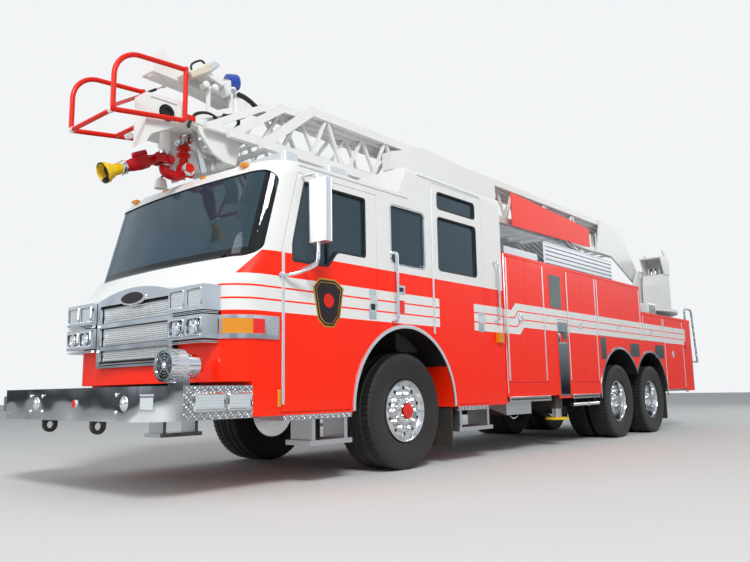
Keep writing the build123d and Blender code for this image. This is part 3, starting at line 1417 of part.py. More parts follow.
# Fly section with its tip: bracket, light arm, reel cabinet and lamps
fly_half = fly_section[0]
tip_x = fly_section[4]
monitor_x = tip_x
tilt_x = monitor_x + 100
tilt_z = 2889
tilt_pin_r = 22
swivel_r = 45
swivel_z = (2845, 2975)
bracket_y = (300, 330)
arm_y = (0, 190)
cabinet_y = (120, 310)
lamp_stalk_y = fly_half - fly_section[6] / 2
with BuildPart() as ladder_fly:
    lattice(fly_section)
    # Work lamp and beacon on stalks over the end struts
    for x, low, high in ((front_axle_x + 1500, 3440, 3640), (front_axle_x + 1760, 3320, 3660)):
        block((x - 15, x + 15), (lamp_stalk_y - 15, lamp_stalk_y + 15), (low, high))
    rod((front_axle_x + 1500, lamp_stalk_y, 3685), 52, 92, (0, 0, 1))
    bar((front_axle_x + 1640, lamp_stalk_y, 3640), (front_axle_x + 1880, lamp_stalk_y, 3700), 150, 45)
    # Bracket under the rails that carries the monitor
    for side in (1, -1):
        prism(
            (
                (front_axle_x + 1380, fly_section[1] - seat_gap),
                (tip_x - 120, fly_section[1] - seat_gap),
                (tip_x - 150, 3110),
                (front_axle_x + 1700, 2960),
                (front_axle_x + 1560, 2903),
                (front_axle_x + 1440, 2903),
            ),
            side_plane(max(side_span(side, *bracket_y))),
            bracket_y[1] - bracket_y[0],
        )
    plate_z = (fly_section[1] - seat_gap - 24, fly_section[1] - seat_gap)
    block((front_axle_x + 1700, tip_x + 60), (-bracket_y[1], bracket_y[1]), plate_z)
    block((front_axle_x + 1440, front_axle_x + 1560), (-bracket_y[1], bracket_y[1]), (2903, 2928))
    column_z = (swivel_z[1] + seat_gap, plate_z[0] + 1)
    rod((monitor_x, 0, sum(column_z) / 2), 52, column_z[1] - column_z[0], (0, 0, 1))
    # Reel cabinet on the left: an upright box over a sloping chute
    prism(
        (
            (tip_x + seat_gap, 3150),
            (tip_x + seat_gap, 3340),
            (front_axle_x + 2050, 3372),
            (front_axle_x + 2392, 3350),
            (front_axle_x + 2392, 2890),
            (front_axle_x + 2330, 2990),
            (front_axle_x + 2060, 3130),
        ),
        side_plane(cabinet_y[1]),
        cabinet_y[1] - cabinet_y[0],
    )
    block(
        (front_axle_x + 2085, front_axle_x + 2350),
        (cabinet_y[1] - 12, cabinet_y[1]),
        (3300, 3325),
        Mode.SUBTRACT,
    )
    rod((front_axle_x + 2188, cabinet_y[1] - 20, 3215), 78, 50, (0, 1, 0), Mode.SUBTRACT)
    rod((front_axle_x + 2188, cabinet_y[1] - 20, 3215), 66, 60, (0, 1, 0))
    rod((front_axle_x + 2188, cabinet_y[1] + 10, 3215), 46, 24, (0, 1, 0), Mode.SUBTRACT)
    block((tip_x + seat_gap, front_axle_x + 2060), (cabinet_y[1] - 10, bracket_y[1]), (3200, 3300))
    # Light arm with its raised front block, on a cross plate over the top rails
    arm_root_x = (front_axle_x + 1285, front_axle_x + 1365)
    block(arm_root_x, (-fly_half, fly_half), (fly_section[2] + seat_gap, fly_section[2] + 30))
    prism(
        (
            (arm_root_x[0], fly_section[2] + 20),
            (arm_root_x[0], 3700),
            (front_axle_x + 1560, 3745),
            (front_axle_x + 2090, 3770),
            (front_axle_x + 2130, 3830),
            (front_axle_x + 2200, 3838),
            (front_axle_x + 2267, 3775),
            (front_axle_x + 2267, 3622),
            (front_axle_x + 1700, 3600),
            (arm_root_x[1] + 60, fly_section[2] + 20),
        ),
        side_plane(arm_y[1]),
        arm_y[1] - arm_y[0],
    )
    rod((front_axle_x + 2190, sum(arm_y) / 2, 3615), 62, 34, (0, 0, 1))
ladder_fly.part.label = "ladder_fly"
export_step(ladder_fly.part, "parts/ladder_fly.step")

# Red hoops at the ladder's tip, with the waterway's elbow under it
hoop_y = 356
hoop_d = 44
hoop_x = (tip_x + 34, front_axle_x + 2722)
hoop_z = (3175, 3080)
hoop_top = (3655, 3610)
elbow_r = 72
elbow = (tip_x - 200, 0, 2845)
elbow_pipe_top = plate_z[0] - seat_gap
with BuildPart() as egress_rails:
    for side in (1, -1):
        y = side * hoop_y
        pipe(
            (
                (hoop_x[0], y, hoop_top[0] + hoop_d / 2),
                (hoop_x[0], y, hoop_z[0]),
                (hoop_x[1], y, hoop_z[1]),
                (hoop_x[1], y, hoop_z[1] + 240),
            ),
            hoop_d,
            30,
        )
        pipe(
            (
                (hoop_x[0], y, hoop_top[0]),
                (hoop_x[1], y, hoop_top[1]),
                (hoop_x[1], y, hoop_z[1] + 140),
            ),
            hoop_d,
            250,
        )
        # Straps on the fly section's rails
        strap_y = side_span(side, fly_half + seat_gap, hoop_y)
        block((tip_x - 80, hoop_x[0] + 10), strap_y, (fly_section[1] + 4, fly_section[1] + 50))
    # Cross tubes and a brace between the hoops
    cross_x = front_axle_x + 2300
    cross_z = hoop_z[0] + (hoop_z[1] - hoop_z[0]) * (cross_x - hoop_x[0]) / (hoop_x[1] - hoop_x[0])
    for x, z, far in ((hoop_x[1], hoop_z[1], hoop_y), (cross_x, cross_z, cabinet_y[0] - seat_gap)):
        rod((x, (far - hoop_y) / 2, z), 20, far + hoop_y, (0, 1, 0))
    bar((hoop_x[1], hoop_y, hoop_z[1] + 30), (hoop_x[0], -hoop_y, hoop_top[0] - 30), 30, 30)
    # Elbow and gate valve of the waterway, held by a pipe from the bracket
    with Locations(elbow):
        Sphere(elbow_r)
    pipe_middle = (elbow[0], 0, (elbow[2] + elbow_pipe_top) / 2)
    rod(pipe_middle, 44, elbow_pipe_top - elbow[2], (0, 0, 1))
    rod((elbow[0], 0, 2990), 66, 26, (0, 0, 1))
    rod((elbow[0], 0, 3060), 66, 26, (0, 0, 1))
    rod((elbow[0] - 70, 0, elbow[2]), 58, 40, (1, 0, 0))
    rod((elbow[0], 60, elbow[2]), 44, 110, (0, 1, 0))
egress_rails.part.label = "egress_rails"
export_step(egress_rails.part, "parts/egress_rails.step")

# Monitor: a swivelling base with a fork
fork_y = (60, 84)
with BuildPart() as monitor:
    rod((monitor_x, 0, sum(swivel_z) / 2), swivel_r, swivel_z[1] - swivel_z[0], (0, 0, 1))
    rod((monitor_x, 0, swivel_z[1] - 12), swivel_r + 17, 24, (0, 0, 1))
    block((monitor_x - 44, monitor_x + 10), (-fork_y[1], fork_y[1]), (tilt_z - 38, tilt_z + 38))
    for side in (1, -1):
        fork_x = (monitor_x - 44, tilt_x + 34)
        block(fork_x, side_span(side, *fork_y), (tilt_z - 38, tilt_z + 38))
        eye = (tilt_x, side * sum(fork_y) / 2, tilt_z)
        rod(eye, tilt_pin_r + spindle_fit, 40, (0, 1, 0), Mode.SUBTRACT)
    rod((monitor_x - 10, fork_y[1] + 9, tilt_z), 34, 20, (0, 1, 0))
monitor.part.label = "monitor"
export_step(monitor.part, "parts/monitor.step")

nozzle_lean = radians(26.5)
aim = (cos(nozzle_lean), 0, -sin(nozzle_lean))


def along_nozzle(distance):
    """A point on the nozzle's axis at a distance from its tilt pin."""
    return (tilt_x + distance * aim[0], 0, tilt_z + distance * aim[2])


# Nozzle: distance along its axis and radius of each ring of its outline
nozzle_outline = (
    (20, 40),
    (62, 48),
    (100, 64),
    (170, 66),
    (245, 58),
    (330, 44),
    (345, 40),
    (352, 52),
    (372, 52),
    (378, 46),
    (455, 48),
    (470, 66),
    (500, 74),
    (520, 90),
    (553, 93),
    (553, 80),
    (500, 62),
    (480, 30),
)
with BuildPart() as nozzle:
    rod(along_nozzle(0), swivel_r - 2, 2 * fork_y[0] - 8, (0, 1, 0))
    rod(along_nozzle(0), tilt_pin_r, 2 * fork_y[1] - 4, (0, 1, 0))
    profile_plane = Plane(origin=(tilt_x, 0, tilt_z), x_dir=aim, z_dir=(0, -1, 0))
    with BuildSketch(profile_plane) as profile:
        with BuildLine():
            Polyline((20, 0), *nozzle_outline, (480, 0), close=True)
        make_face()
    revolve(profile.sketch, axis=Axis((tilt_x, 0, tilt_z), aim))
nozzle.part.label = "nozzle"
export_step(nozzle.part, "parts/nozzle.step")

# Sign boards on the base section, left blank
board_y = (745, 757)
with BuildPart() as sign_boards:
    for side in (1, -1):
        y = board_y[1] if side == 1 else -board_y[0]
        prism(
            (
                (front_axle_x - 2980, 2976),
                (front_axle_x - 2980, 3449),
                (front_axle_x - 5470, 3326),
                (front_axle_x - 5470, 3020),
            ),
            side_plane(y),
            board_y[1] - board_y[0],
        )
        for x in (front_axle_x - 3350, front_axle_x - 4200):
            stand_off = side_span(side, base_section[0] + seat_gap, board_y[0])
            block((x - 30, x + 30), stand_off, (3080, 3140))
sign_boards.part.label = "sign_boards"
export_step(sign_boards.part, "parts/sign_boards.step")

# Lift cylinders: barrels on the turntable, rods to the base section
lift_run = (lift_eye[0] - lift_foot[0], lift_eye[1] - lift_foot[1])
lift_length = hypot(*lift_run)
lift_aim = (lift_run[0] / lift_length, 0, lift_run[1] / lift_length)


def along_lift(side, distance):
    """A point on a lift cylinder's axis at a distance from its foot."""
    x = lift_foot[0] + distance * lift_aim[0]
    return (x, side * lift_y, lift_foot[1] + distance * lift_aim[2])


with BuildPart() as lift_barrels:
    for side in (1, -1):
        middle = along_lift(side, 40 + barrel_length / 2)
        rod(middle, barrel_r, barrel_length - 80, lift_aim)
        rod(along_lift(side, barrel_length - 30), barrel_r + 8, 60, lift_aim)
        rod(middle, rod_r + spindle_fit, barrel_length, lift_aim, Mode.SUBTRACT)
        rod(along_lift(side, 0), 78, 64, (0, 1, 0))
        pin = (foot_lug_y - 38, lift_y)
        rod((lift_foot[0], side * sum(pin) / 2, lift_foot[1]), lift_pin_r, pin[1] - pin[0], (0, 1, 0))
lift_barrels.part.label = "lift_barrels"
export_step(lift_barrels.part, "parts/lift_barrels.step")

with BuildPart() as lift_rods:
    for side in (1, -1):
        rod(along_lift(side, (100 + lift_length) / 2), rod_r, lift_length - 100, lift_aim)
        eye_y = (lift_lug_y + seat_gap, 2 * lift_y - lift_lug_y - seat_gap)
        rod((lift_eye[0], side * sum(eye_y) / 2, lift_eye[1]), 78, eye_y[1] - eye_y[0], (0, 1, 0))
lift_rods.part.label = "lift_rods"
export_step(lift_rods.part, "parts/lift_rods.step")

# Outriggers: a beam with its panel and jack tube, and the leg that slides in the tube
pad_r = 150
pad_z = (345, 375)
tube_r = 75
tube_z = (beam_z - beam_size / 2, 1500)
for side, name, x in ((1, "left", beam_x[0]), (-1, "right", beam_x[1])):
    with BuildPart() as outrigger:
        half = beam_size / 2
        tube = (x, side * jack_y, sum(tube_z) / 2)
        block((x - half, x + half), side_span(side, -1100, jack_y), (tube_z[0], tube_z[0] + beam_size))
        rod(tube, tube_r, tube_z[1] - tube_z[0], (0, 0, 1))
        arm_y = side_span(side, jack_y, half_width - panel_t + 1)
        block((x - 60, x + 60), arm_y, (panel_z[0] + 20, 1400))
        panel_y = side_span(side, half_width - panel_t, half_width)
        block((panel_x[1], panel_x[0]), panel_y, panel_z)
        slot_y = side_span(side, half_width - 10, half_width)
        slot_z = (panel_z[0] + 120, panel_z[1] - 90)
        block((panel_x[0] - 60, panel_x[0] - 30), slot_y, slot_z, Mode.SUBTRACT)
        lamp_y = side_span(side, half_width - 1, half_width + 30)
        block((panel_x[1] + 100, panel_x[1] + 220), lamp_y, (1390, 1490))
        rod(tube, jack_r + spindle_fit, tube_z[1] - tube_z[0] + 2, (0, 0, 1), Mode.SUBTRACT)
    outrigger.part.label = f"outrigger_{name}"
    export_step(outrigger.part, f"parts/outrigger_{name}.step")

    with BuildPart() as jack_leg:
        leg_z = (pad_z[0], tube_z[1] - 20)
        rod((x, side * jack_y, sum(leg_z) / 2), jack_r, leg_z[1] - leg_z[0], (0, 0, 1))
        rod((x, side * jack_y, sum(pad_z) / 2), pad_r, pad_z[1] - pad_z[0], (0, 0, 1))
    jack_leg.part.label = f"jack_leg_{name}"
    export_step(jack_leg.part, f"parts/jack_leg_{name}.step")
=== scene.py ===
"""Looks of the ladder truck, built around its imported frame. Metres, X forward, Y left, Z up."""
import bpy
import bmesh
import re
from functools import partial
from math import copysign, cos, exp, hypot, pi, radians, sin
from mathutils import Matrix, Vector


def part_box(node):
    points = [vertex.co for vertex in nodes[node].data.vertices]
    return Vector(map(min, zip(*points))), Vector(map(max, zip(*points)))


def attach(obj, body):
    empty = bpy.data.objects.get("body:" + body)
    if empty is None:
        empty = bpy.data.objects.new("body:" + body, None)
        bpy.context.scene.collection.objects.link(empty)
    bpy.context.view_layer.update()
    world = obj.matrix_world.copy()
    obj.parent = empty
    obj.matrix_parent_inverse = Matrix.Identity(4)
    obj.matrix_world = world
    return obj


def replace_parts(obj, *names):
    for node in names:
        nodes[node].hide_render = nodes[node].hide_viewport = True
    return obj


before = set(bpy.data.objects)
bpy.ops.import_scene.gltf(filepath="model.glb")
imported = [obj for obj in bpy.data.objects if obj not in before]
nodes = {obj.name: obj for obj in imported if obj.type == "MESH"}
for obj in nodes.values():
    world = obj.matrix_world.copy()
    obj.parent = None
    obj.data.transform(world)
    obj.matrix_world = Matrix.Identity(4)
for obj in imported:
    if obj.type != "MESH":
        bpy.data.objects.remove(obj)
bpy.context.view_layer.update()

FRONT_AXLE_X = 3.170
HALF_WIDTH = 1.250
AHEAD, LEFTWARD, UPWARD = Matrix.Identity(3)
SIDES = (("left", 1), ("right", -1))

# Places that several parts share, ahead of the front axle, to the left and over the ground
NOZZLE_PIVOT = Vector((2.1, 0, 2.889))
BUMPER_LAMP_Z = 0.702
BODY_REAR_X = -8.62
# Wheel arches: where their middle lies, and their radius
FRONT_ARCH = (0.04, 0.59, 0.776)
REAR_ARCHES = ((-5.18, 0.575, 0.752), (-6.43, 0.6, 0.707))
ARCH_DEPTH = 1.235

# Camera: where the photograph was taken from, and the field of its lens
CAMERA_AT = Vector((8.7052, 5.5953, 0.7693))
CAMERA_HEADING = radians(220.840)
CAMERA_PITCH = radians(8.673)
CAMERA_ROLL = radians(-0.985)
LENS_MM = 34.22
SENSOR_MM = 36

heading = AHEAD * cos(CAMERA_HEADING) + LEFTWARD * sin(CAMERA_HEADING)
look = heading * cos(CAMERA_PITCH) + UPWARD * sin(CAMERA_PITCH)
level_right = look.cross(UPWARD).normalized()
level_up = level_right.cross(look)
right = level_right * cos(CAMERA_ROLL) + level_up * sin(CAMERA_ROLL)
up = level_up * cos(CAMERA_ROLL) - level_right * sin(CAMERA_ROLL)
camera_data = bpy.data.cameras.new("camera")
camera_data.lens = LENS_MM
camera_data.sensor_width = SENSOR_MM
camera = bpy.data.objects.new("camera", camera_data)
camera.matrix_world = Matrix.Translation(CAMERA_AT) @ Matrix((right, up, -look)).transposed().to_4x4()
bpy.context.collection.objects.link(camera)
bpy.context.scene.camera = camera
bpy.context.scene.view_settings.view_transform = "Standard"


def linear(code):
    """An sRGB hex colour as linear red, green, blue and alpha."""
    levels = [int(code[place:place + 2], 16) / 255 for place in (0, 2, 4)]
    return [v / 12.92 if v <= 0.04045 else ((v + 0.055) / 1.055) ** 2.4 for v in levels] + [1.0]


def feed(socket, value):
    """Sets a socket to a value, or links it to a node's output."""
    if isinstance(value, bpy.types.Node):
        value = value.outputs[0]
    if isinstance(value, bpy.types.NodeSocket):
        socket.id_data.links.new(value, socket)
    else:
        socket.default_value = value


def add_node(tree, kind, inputs=None, stops=(), **settings):
    """Adds a shader node, sets its fields, places a ramp's hard stops, and feeds its sockets."""
    node = tree.nodes.new("ShaderNode" + kind)
    for name, value in settings.items():
        setattr(node, name, value)
    if stops:
        bands = node.color_ramp
        bands.interpolation = "CONSTANT"
        bands.elements.remove(bands.elements[1])
        for place, level in stops:
            bands.elements.new(place).color = (level, level, level, 1)
    for socket, value in (inputs or {}).items():
        feed(node.inputs[socket], value)
    return node


def new_material(name):
    """A node material, what adds nodes to it, its shader, and the piece's own coordinates in metres."""
    made = bpy.data.materials.new(name)
    made.use_nodes = True
    add = partial(add_node, made.node_tree)
    place = add("TexCoord").outputs["Object"]
    axes = add("SeparateXYZ", {0: place}).outputs
    return made, add, made.node_tree.nodes["Principled BSDF"], place, axes


def fill(shader, **values):
    """Feeds a shader's sockets; underscores stand for spaces in their names."""
    for name, value in values.items():
        feed(shader.inputs[name.replace("_", " ")], value)


RED = "FF2600"
WHITE = "E3E3E0"
DUST = "A79C8C"

# Noise scales are in features per metre. Those of fine marks are far coarser than real, so that they show
# at the distance of the photograph, where a pixel covers 8 to 20 mm.


def dust_over(add, place, axes, clean, dust, low, high, share):
    """A colour that turns dusty from one height down to another, in soft patches 0.3 m wide."""
    if not share:
        return clean
    cloud = add("TexNoise", {"Vector": place, "Scale": 3.0, "Detail": 5.0})
    fade = add("MapRange", {0: axes["Z"], 1: low, 2: high, 3: share, 4: 0.0})
    amount = add("Math", {0: fade, 1: cloud}, operation="MULTIPLY")
    mixed = add("Mix", {0: amount, 6: clean, 7: dust}, data_type="RGBA")
    return mixed.outputs[2]


def enamel_skin(add, shader, place):
    """Orange peel, drawn ten times coarser at 18 mm, and small changes of gloss from panel to panel."""
    peel = add("TexNoise", {"Vector": place, "Scale": 55.0, "Detail": 3.0})
    smear = add("TexNoise", {"Vector": place, "Scale": 1.2, "Detail": 1.0})
    rough = add("MapRange", {0: smear, 3: 0.30, 4: 0.40})
    bump = add("Bump", {"Height": peel, "Strength": 0.02, "Distance": 0.0003})
    fill(shader, Roughness=rough, Normal=bump, IOR=1.33, Coat_Weight=0.1, Coat_Roughness=0.03)


def paint(name, code, dusty=0.0):
    """Two-part polyurethane enamel, sprayed and polished: even colour with a wet gloss."""
    made, add, shader, place, axes = new_material(name)
    fill(shader, Base_Color=dust_over(add, place, axes, linear(code), linear(DUST), 0.3, 1.3, dusty))
    enamel_skin(add, shader, place)
    return made


def two_tone(name, low, high, spans, step, white_level):
    """Red enamel with three white reflective stripes, and white above a level that drops round the nose."""
    made, add, shader, place, axes = new_material(name)
    # Behind a slanted step the stripes run higher
    step_x, step_z, slope = FRONT_AXLE_X - 2.14, 1.585, 0.66
    lean = add("Math", {0: axes["Z"], 1: -slope, 2: axes["X"]}, operation="MULTIPLY_ADD")
    edge = step_x - slope * step_z
    rise = add("MapRange", {0: lean, 1: edge - 0.08, 2: edge + 0.08, 3: step, 4: 0.0})
    level = add("Math", {0: axes["Z"], 1: rise}, operation="SUBTRACT")
    # Three stripes with two narrow gaps between them
    across = add("MapRange", {0: level, 1: low, 2: high}, clamp=False)
    rows = ((0.0, 0), (0.001, 1), (0.3, 0), (0.35, 1), (0.65, 0), (0.7, 1), (0.999, 0))
    bands = add("ValToRGB", {0: across}, stops=rows)
    rear, front = spans[0][0], 3.0
    along = add("MapRange", {0: axes["X"], 1: FRONT_AXLE_X + rear, 2: FRONT_AXLE_X + front})
    cuts = [((x - rear) / (front - rear), lit) for x, lit in spans]
    reach = add("ValToRGB", {0: along}, stops=cuts)
    stripes = add("Math", {0: bands, 1: reach}, operation="MULTIPLY")
    # The edge of the white runs level along the doors and slants down round the nose
    start, end, drop = FRONT_AXLE_X + 1.853, FRONT_AXLE_X + 2.172, 0.305
    slant = {0: axes["X"], 1: start, 2: end, 3: white_level, 4: white_level - drop}
    border = add("MapRange", slant)
    upper = add("Math", {0: axes["Z"], 1: border}, operation="GREATER_THAN")
    white = add("Math", {0: stripes, 1: upper}, operation="MAXIMUM")
    colour = add("Mix", {0: white, 6: linear(RED), 7: linear(WHITE)}, data_type="RGBA")
    fill(shader, Base_Color=dust_over(add, place, axes, colour.outputs[2], linear(DUST), 0.3, 0.8, 0.08))
    enamel_skin(add, shader, place)
    return made


def metal(name, code, low, high, scale=6.0, stretch=(1, 1, 1), bump_mm=0.05, wave_mm=0.0):
    """A bare metal: its colour, the range of its roughness, and fine marks along the way it was worked."""
    made, add, shader, place, _ = new_material(name)
    mapped = add("Mapping", {"Vector": place, "Scale": stretch})
    marks = add("TexNoise", {"Vector": mapped, "Scale": scale, "Detail": 6.0})
    rough = add("MapRange", {0: marks, 3: low, 4: high})
    bump = add("Bump", {"Height": marks, "Strength": 0.2, "Distance": bump_mm / 1000})
    if wave_mm:
        # Polished sheet is never quite flat, so what it mirrors bends in broad waves
        swell = add("TexNoise", {"Vector": place, "Scale": 4.0, "Detail": 0.0})
        waves = {"Height": swell, "Strength": 1.0, "Distance": wave_mm / 1000, "Normal": bump}
        bump = add("Bump", waves)
    fill(shader, Base_Color=linear(code), Metallic=1.0, Roughness=rough, Normal=bump)
    return made


def tread_plate(name):
    """Rolled aluminium tread plate: raised lozenges 25 mm long that lie in turn at both slants, drawn lighter
    on their raised tops as a painted highlight.
    """
    made, add, shader, place, axes = new_material(name)
    pitch = 0.034
    # The sheet is drawn along two of the piece's axes; the sum of Y and Z serves sides and tops
    flat = add("Math", {0: axes["Y"], 1: axes["Z"]}, operation="ADD")
    ridges = []
    for sign in (1, -1):
        waves = []
        for way, turns in ((sign, pi / pitch), (-sign, 2 * pi / pitch)):
            slant = add("Math", {0: flat, 1: way, 2: axes["X"]}, operation="MULTIPLY_ADD")
            angle = add("Math", {0: slant, 1: turns}, operation="MULTIPLY")
            waves.append(add("Math", {0: angle}, operation="COSINE"))
        long = add("Math", {0: waves[0], 1: 0.35}, operation="MULTIPLY")
        short = {0: waves[1], 1: 0.65, 2: long}
        ridges.append(add("Math", short, operation="MULTIPLY_ADD"))
    raised = add("Math", {0: ridges[0], 1: ridges[1]}, operation="MAXIMUM")
    shaped = add("MapRange", {0: raised, 1: 0.45, 2: 0.9})
    bump = add("Bump", {"Height": shaped, "Strength": 1.0, "Distance": 0.004})
    cloud = add("TexNoise", {"Vector": place, "Scale": 9.0, "Detail": 5.0})
    rough = add("MapRange", {0: cloud, 3: 0.18, 4: 0.36})
    # Painted highlight: the raised lozenges are coloured lighter than the flat sheet between them
    tone = {0: shaped, 6: linear("A9ABAE"), 7: linear("EDEEF0")}
    colour = add("Mix", tone, data_type="RGBA")
    fill(shader, Base_Color=colour.outputs[2], Metallic=1.0, Roughness=rough, Normal=bump)
    return made


def woven_mesh(name):
    """Crimped stainless mesh: bright wires, with painted shade in the holes; drawn twice as coarse, at 18 mm,
    so that it shows.
    """
    made, add, shader, _, axes = new_material(name)
    pitch = 0.018
    waves = []
    for axis in ("Y", "Z"):
        turned = add("Math", {0: axes[axis], 1: 2 * pi / pitch}, operation="MULTIPLY")
        waves.append(add("Math", {0: turned}, operation="COSINE"))
    wire = add("Math", {0: waves[0], 1: waves[1]}, operation="MAXIMUM")
    solid = add("MapRange", {0: wire, 1: -0.3, 2: 0.25})
    # Painted shade: between the wires a dark grey stands in for the shadow seen through the holes
    tone = {0: solid, 6: linear("4A4B4E"), 7: linear("F2F3F4")}
    colour = add("Mix", tone, data_type="RGBA")
    bump = add("Bump", {"Height": wire, "Strength": 0.8, "Distance": 0.003})
    fill(shader, Base_Color=colour.outputs[2], Metallic=0.85, Roughness=0.38, Normal=bump)
    return made


def plain(name, code, roughness, grain_mm=0.8, bump_mm=0.15, dusty=0.0, **more):
    """A moulded, cast or woven surface: fine grain in its height and small changes in its tone."""
    made, add, shader, place, axes = new_material(name)
    # The grain is drawn twenty times coarser than it is, so that it shows at this distance
    per_metre = 1000 / (20 * grain_mm)
    grain = add("TexNoise", {"Vector": place, "Scale": per_metre, "Detail": 4.0})
    bump = add("Bump", {"Height": grain, "Strength": 0.6, "Distance": bump_mm / 1000})
    tone = dust_over(add, place, axes, linear(code), linear("8F8577"), 0.0, 1.2, dusty)
    rough = add("MapRange", {0: grain, 3: roughness * 0.85, 4: roughness * 1.15})
    fill(shader, Base_Color=tone, Roughness=rough, Normal=bump, **more)
    return made


def lens(name, code, glow=0.0):
    """Moulded acrylic lens: clear colour with flutes inside, 16 mm apart, that break up the light."""
    made, add, shader, place, _ = new_material(name)
    flutes = add("TexWave", {"Vector": place, "Scale": 40.0}, bands_direction="DIAGONAL")
    height = flutes.outputs["Fac"]
    bump = add("Bump", {"Height": height, "Strength": 0.3, "Distance": 0.002})
    fill(shader, Base_Color=linear(code), Roughness=0.12, Normal=bump, IOR=1.49, Coat_Weight=0.5)
    fill(shader, Emission_Color=linear(code), Emission_Strength=glow)
    return made


def window_glass(name, code):
    """Float glass with a grey-green tint, and the black printed border round the windscreen."""
    made, add, shader, place, axes = new_material(name)
    smear = add("TexNoise", {"Vector": place, "Scale": 1.5, "Detail": 3.0})
    rough = add("MapRange", {0: smear, 3: 0.0, 4: 0.03})
    side = add("Math", {0: axes["Y"]}, operation="ABSOLUTE")
    edges = add("Math", {0: side, 1: 1.12}, operation="GREATER_THAN")
    foot = add("Math", {0: axes["Z"], 1: 1.93}, operation="LESS_THAN")
    ring = add("Math", {0: edges, 1: foot}, operation="MAXIMUM")
    front = add("Math", {0: axes["X"], 1: FRONT_AXLE_X + 1.70}, operation="GREATER_THAN")
    border = add("Math", {0: ring, 1: front}, operation="MULTIPLY")
    tone = {0: border, 6: linear(code), 7: linear("0B0C0D")}
    colour = add("Mix", tone, data_type="RGBA")
    clear = add("MapRange", {0: border, 3: 0.8, 4: 0.0})
    fill(shader, Base_Color=colour.outputs[2], Roughness=rough, IOR=1.52, Transmission_Weight=clear)
    return made


# Where the stripes start (1) and stop (0), ahead of the front axle
CAB_SPANS = ((-9.0, 0), (-1.80, 1), (-1.197, 0), (-0.547, 1), (2.176, 0))
BODY_SPANS = ((-9.0, 0), (-8.30, 1), (-1.80, 0))
cab_enamel = two_tone("cab_enamel", 1.403, 1.700, CAB_SPANS, 0.0, 1.905)
# A level above the roof keeps white off the body
body_enamel = two_tone("body_enamel", 1.403, 1.690, BODY_SPANS, 0.09, 9.0)
white_enamel = paint("white_enamel", WHITE, 0.1)
red_enamel = paint("red_enamel", "D8200C", 0.1)
monitor_enamel = paint("monitor_enamel", "B80E16")
sign_red = plain("sign_vinyl", RED, 0.5)
yellow_enamel = paint("yellow_enamel", "E8BE1E")
beige_enamel = paint("beige_enamel", "D5CBB8")
black_enamel = plain("black_chassis_enamel", "15161A", 0.45, dusty=0.4)
polished_steel = metal("polished_stainless_steel", "E4E6E8", 0.04, 0.10, wave_mm=6.0)
polished_aluminium = metal("polished_forged_aluminium", "E2E3E4", 0.10, 0.22)
brushed_aluminium = metal("brushed_sheet_aluminium", "C9CBCD", 0.30, 0.45, 30.0, (1, 1, 0.08))
ladder_aluminium = metal("brushed_ladder_aluminium", "E9EAEB", 0.28, 0.42, 40.0, (0.05, 1, 1))
ground_steel = metal("ground_rod_steel", "C6C8CA", 0.10, 0.2)
cast_iron = plain("cast_engine_iron", "2A2C2E", 0.7, grain_mm=1.5, bump_mm=0.6)
lozenge_plate = tread_plate("rolled_tread_plate")
grille_wire = woven_mesh("crimped_wire_mesh")
tyre_rubber = plain("moulded_tyre_rubber", "141416", 0.6, grain_mm=1.2, bump_mm=0.5, dusty=0.12)
seat_cloth = plain("woven_seat_cloth", "26282E", 0.9, grain_mm=1.2, bump_mm=0.6, Sheen_Weight=0.3)
dash_vinyl = plain("grained_dash_vinyl", "2B2C2F", 0.6, grain_mm=1.0, bump_mm=0.3)
rubber = plain("moulded_black_rubber", "121214", 0.55)
tinted_glass = window_glass("tinted_float_glass", "56788A")
mirror_glass = metal("silvered_mirror_glass", "A8B0B4", 0.0, 0.02)
# Painted reflection: the mirror-polished panels get a dark green-grey base colour that stands in for the dark
# surroundings they mirror
mirror_steel_painted_reflection = metal("mirror_polished_steel_painted_reflection", "7C827C", 0.02, 0.05)
bright_strip = metal("anodised_edge_strip", "F2F3F4", 0.32, 0.45, 20.0, (1, 1, 0.1))
clear_lens = lens("clear_acrylic", "C6CCD0")
amber_lens = lens("amber_acrylic", "D98A10", 0.05)
red_lens = lens("red_acrylic", "E01810", 0.08)
blue_lens = lens("blue_acrylic", "1E3F9E", 0.1)
gold_leaf = metal("gold_leaf_border", "E0A846", 0.25, 0.4)
badge_field = paint("dark_badge_enamel", "241A1C")

# Which kinds of node wear each finish, whatever their side, letter or number
FINISHES = {
    black_enamel: "frame axles underbody knuckle",
    cast_iron: "engine",
    cab_enamel: "cab front_door crew_door",
    body_enamel: "body locker_door outrigger",
    white_enamel: "roof_lights pedestal ladder_cradle turntable control_console lift_barrels "
                  "ladder_base ladder_mid_outer ladder_mid_inner ladder_fly",
    red_enamel: "egress_rails",
    monitor_enamel: "monitor",
    yellow_enamel: "nozzle",
    sign_red: "sign_boards",
    polished_steel: "grille headlamps bumper bright_trim",
    ground_steel: "jack_leg lift_rods",
    lozenge_plate: "steps top_lockers",
    tinted_glass: "cab_glass front_door_glass crew_door_glass",
    tyre_rubber: "front_wheel rear_wheel",
    seat_cloth: "cab_interior",
}
FINISH_OF = {kind: finish for finish, kinds in FINISHES.items() for kind in kinds.split()}
for name, node in nodes.items():
    node.data.materials.clear()
    node.data.materials.append(FINISH_OF[re.sub("(_[a-e12])?_(left|right)$", "", name)])


def paint_faces(name, rules):
    """Gives faces of a node other finishes, by the place of their middle and the way they face."""
    data = nodes[name].data
    for finish, rule in rules:
        data.materials.append(finish)
        for face in data.polygons:
            if face.material_index == 0 and rule(face.center - AHEAD * FRONT_AXLE_X, face.normal):
                face.material_index = len(data.materials) - 1


def seen_off(place, x, z):
    """How far a place lies from a line that runs across the truck."""
    return hypot(place.x - x, place.z - z)


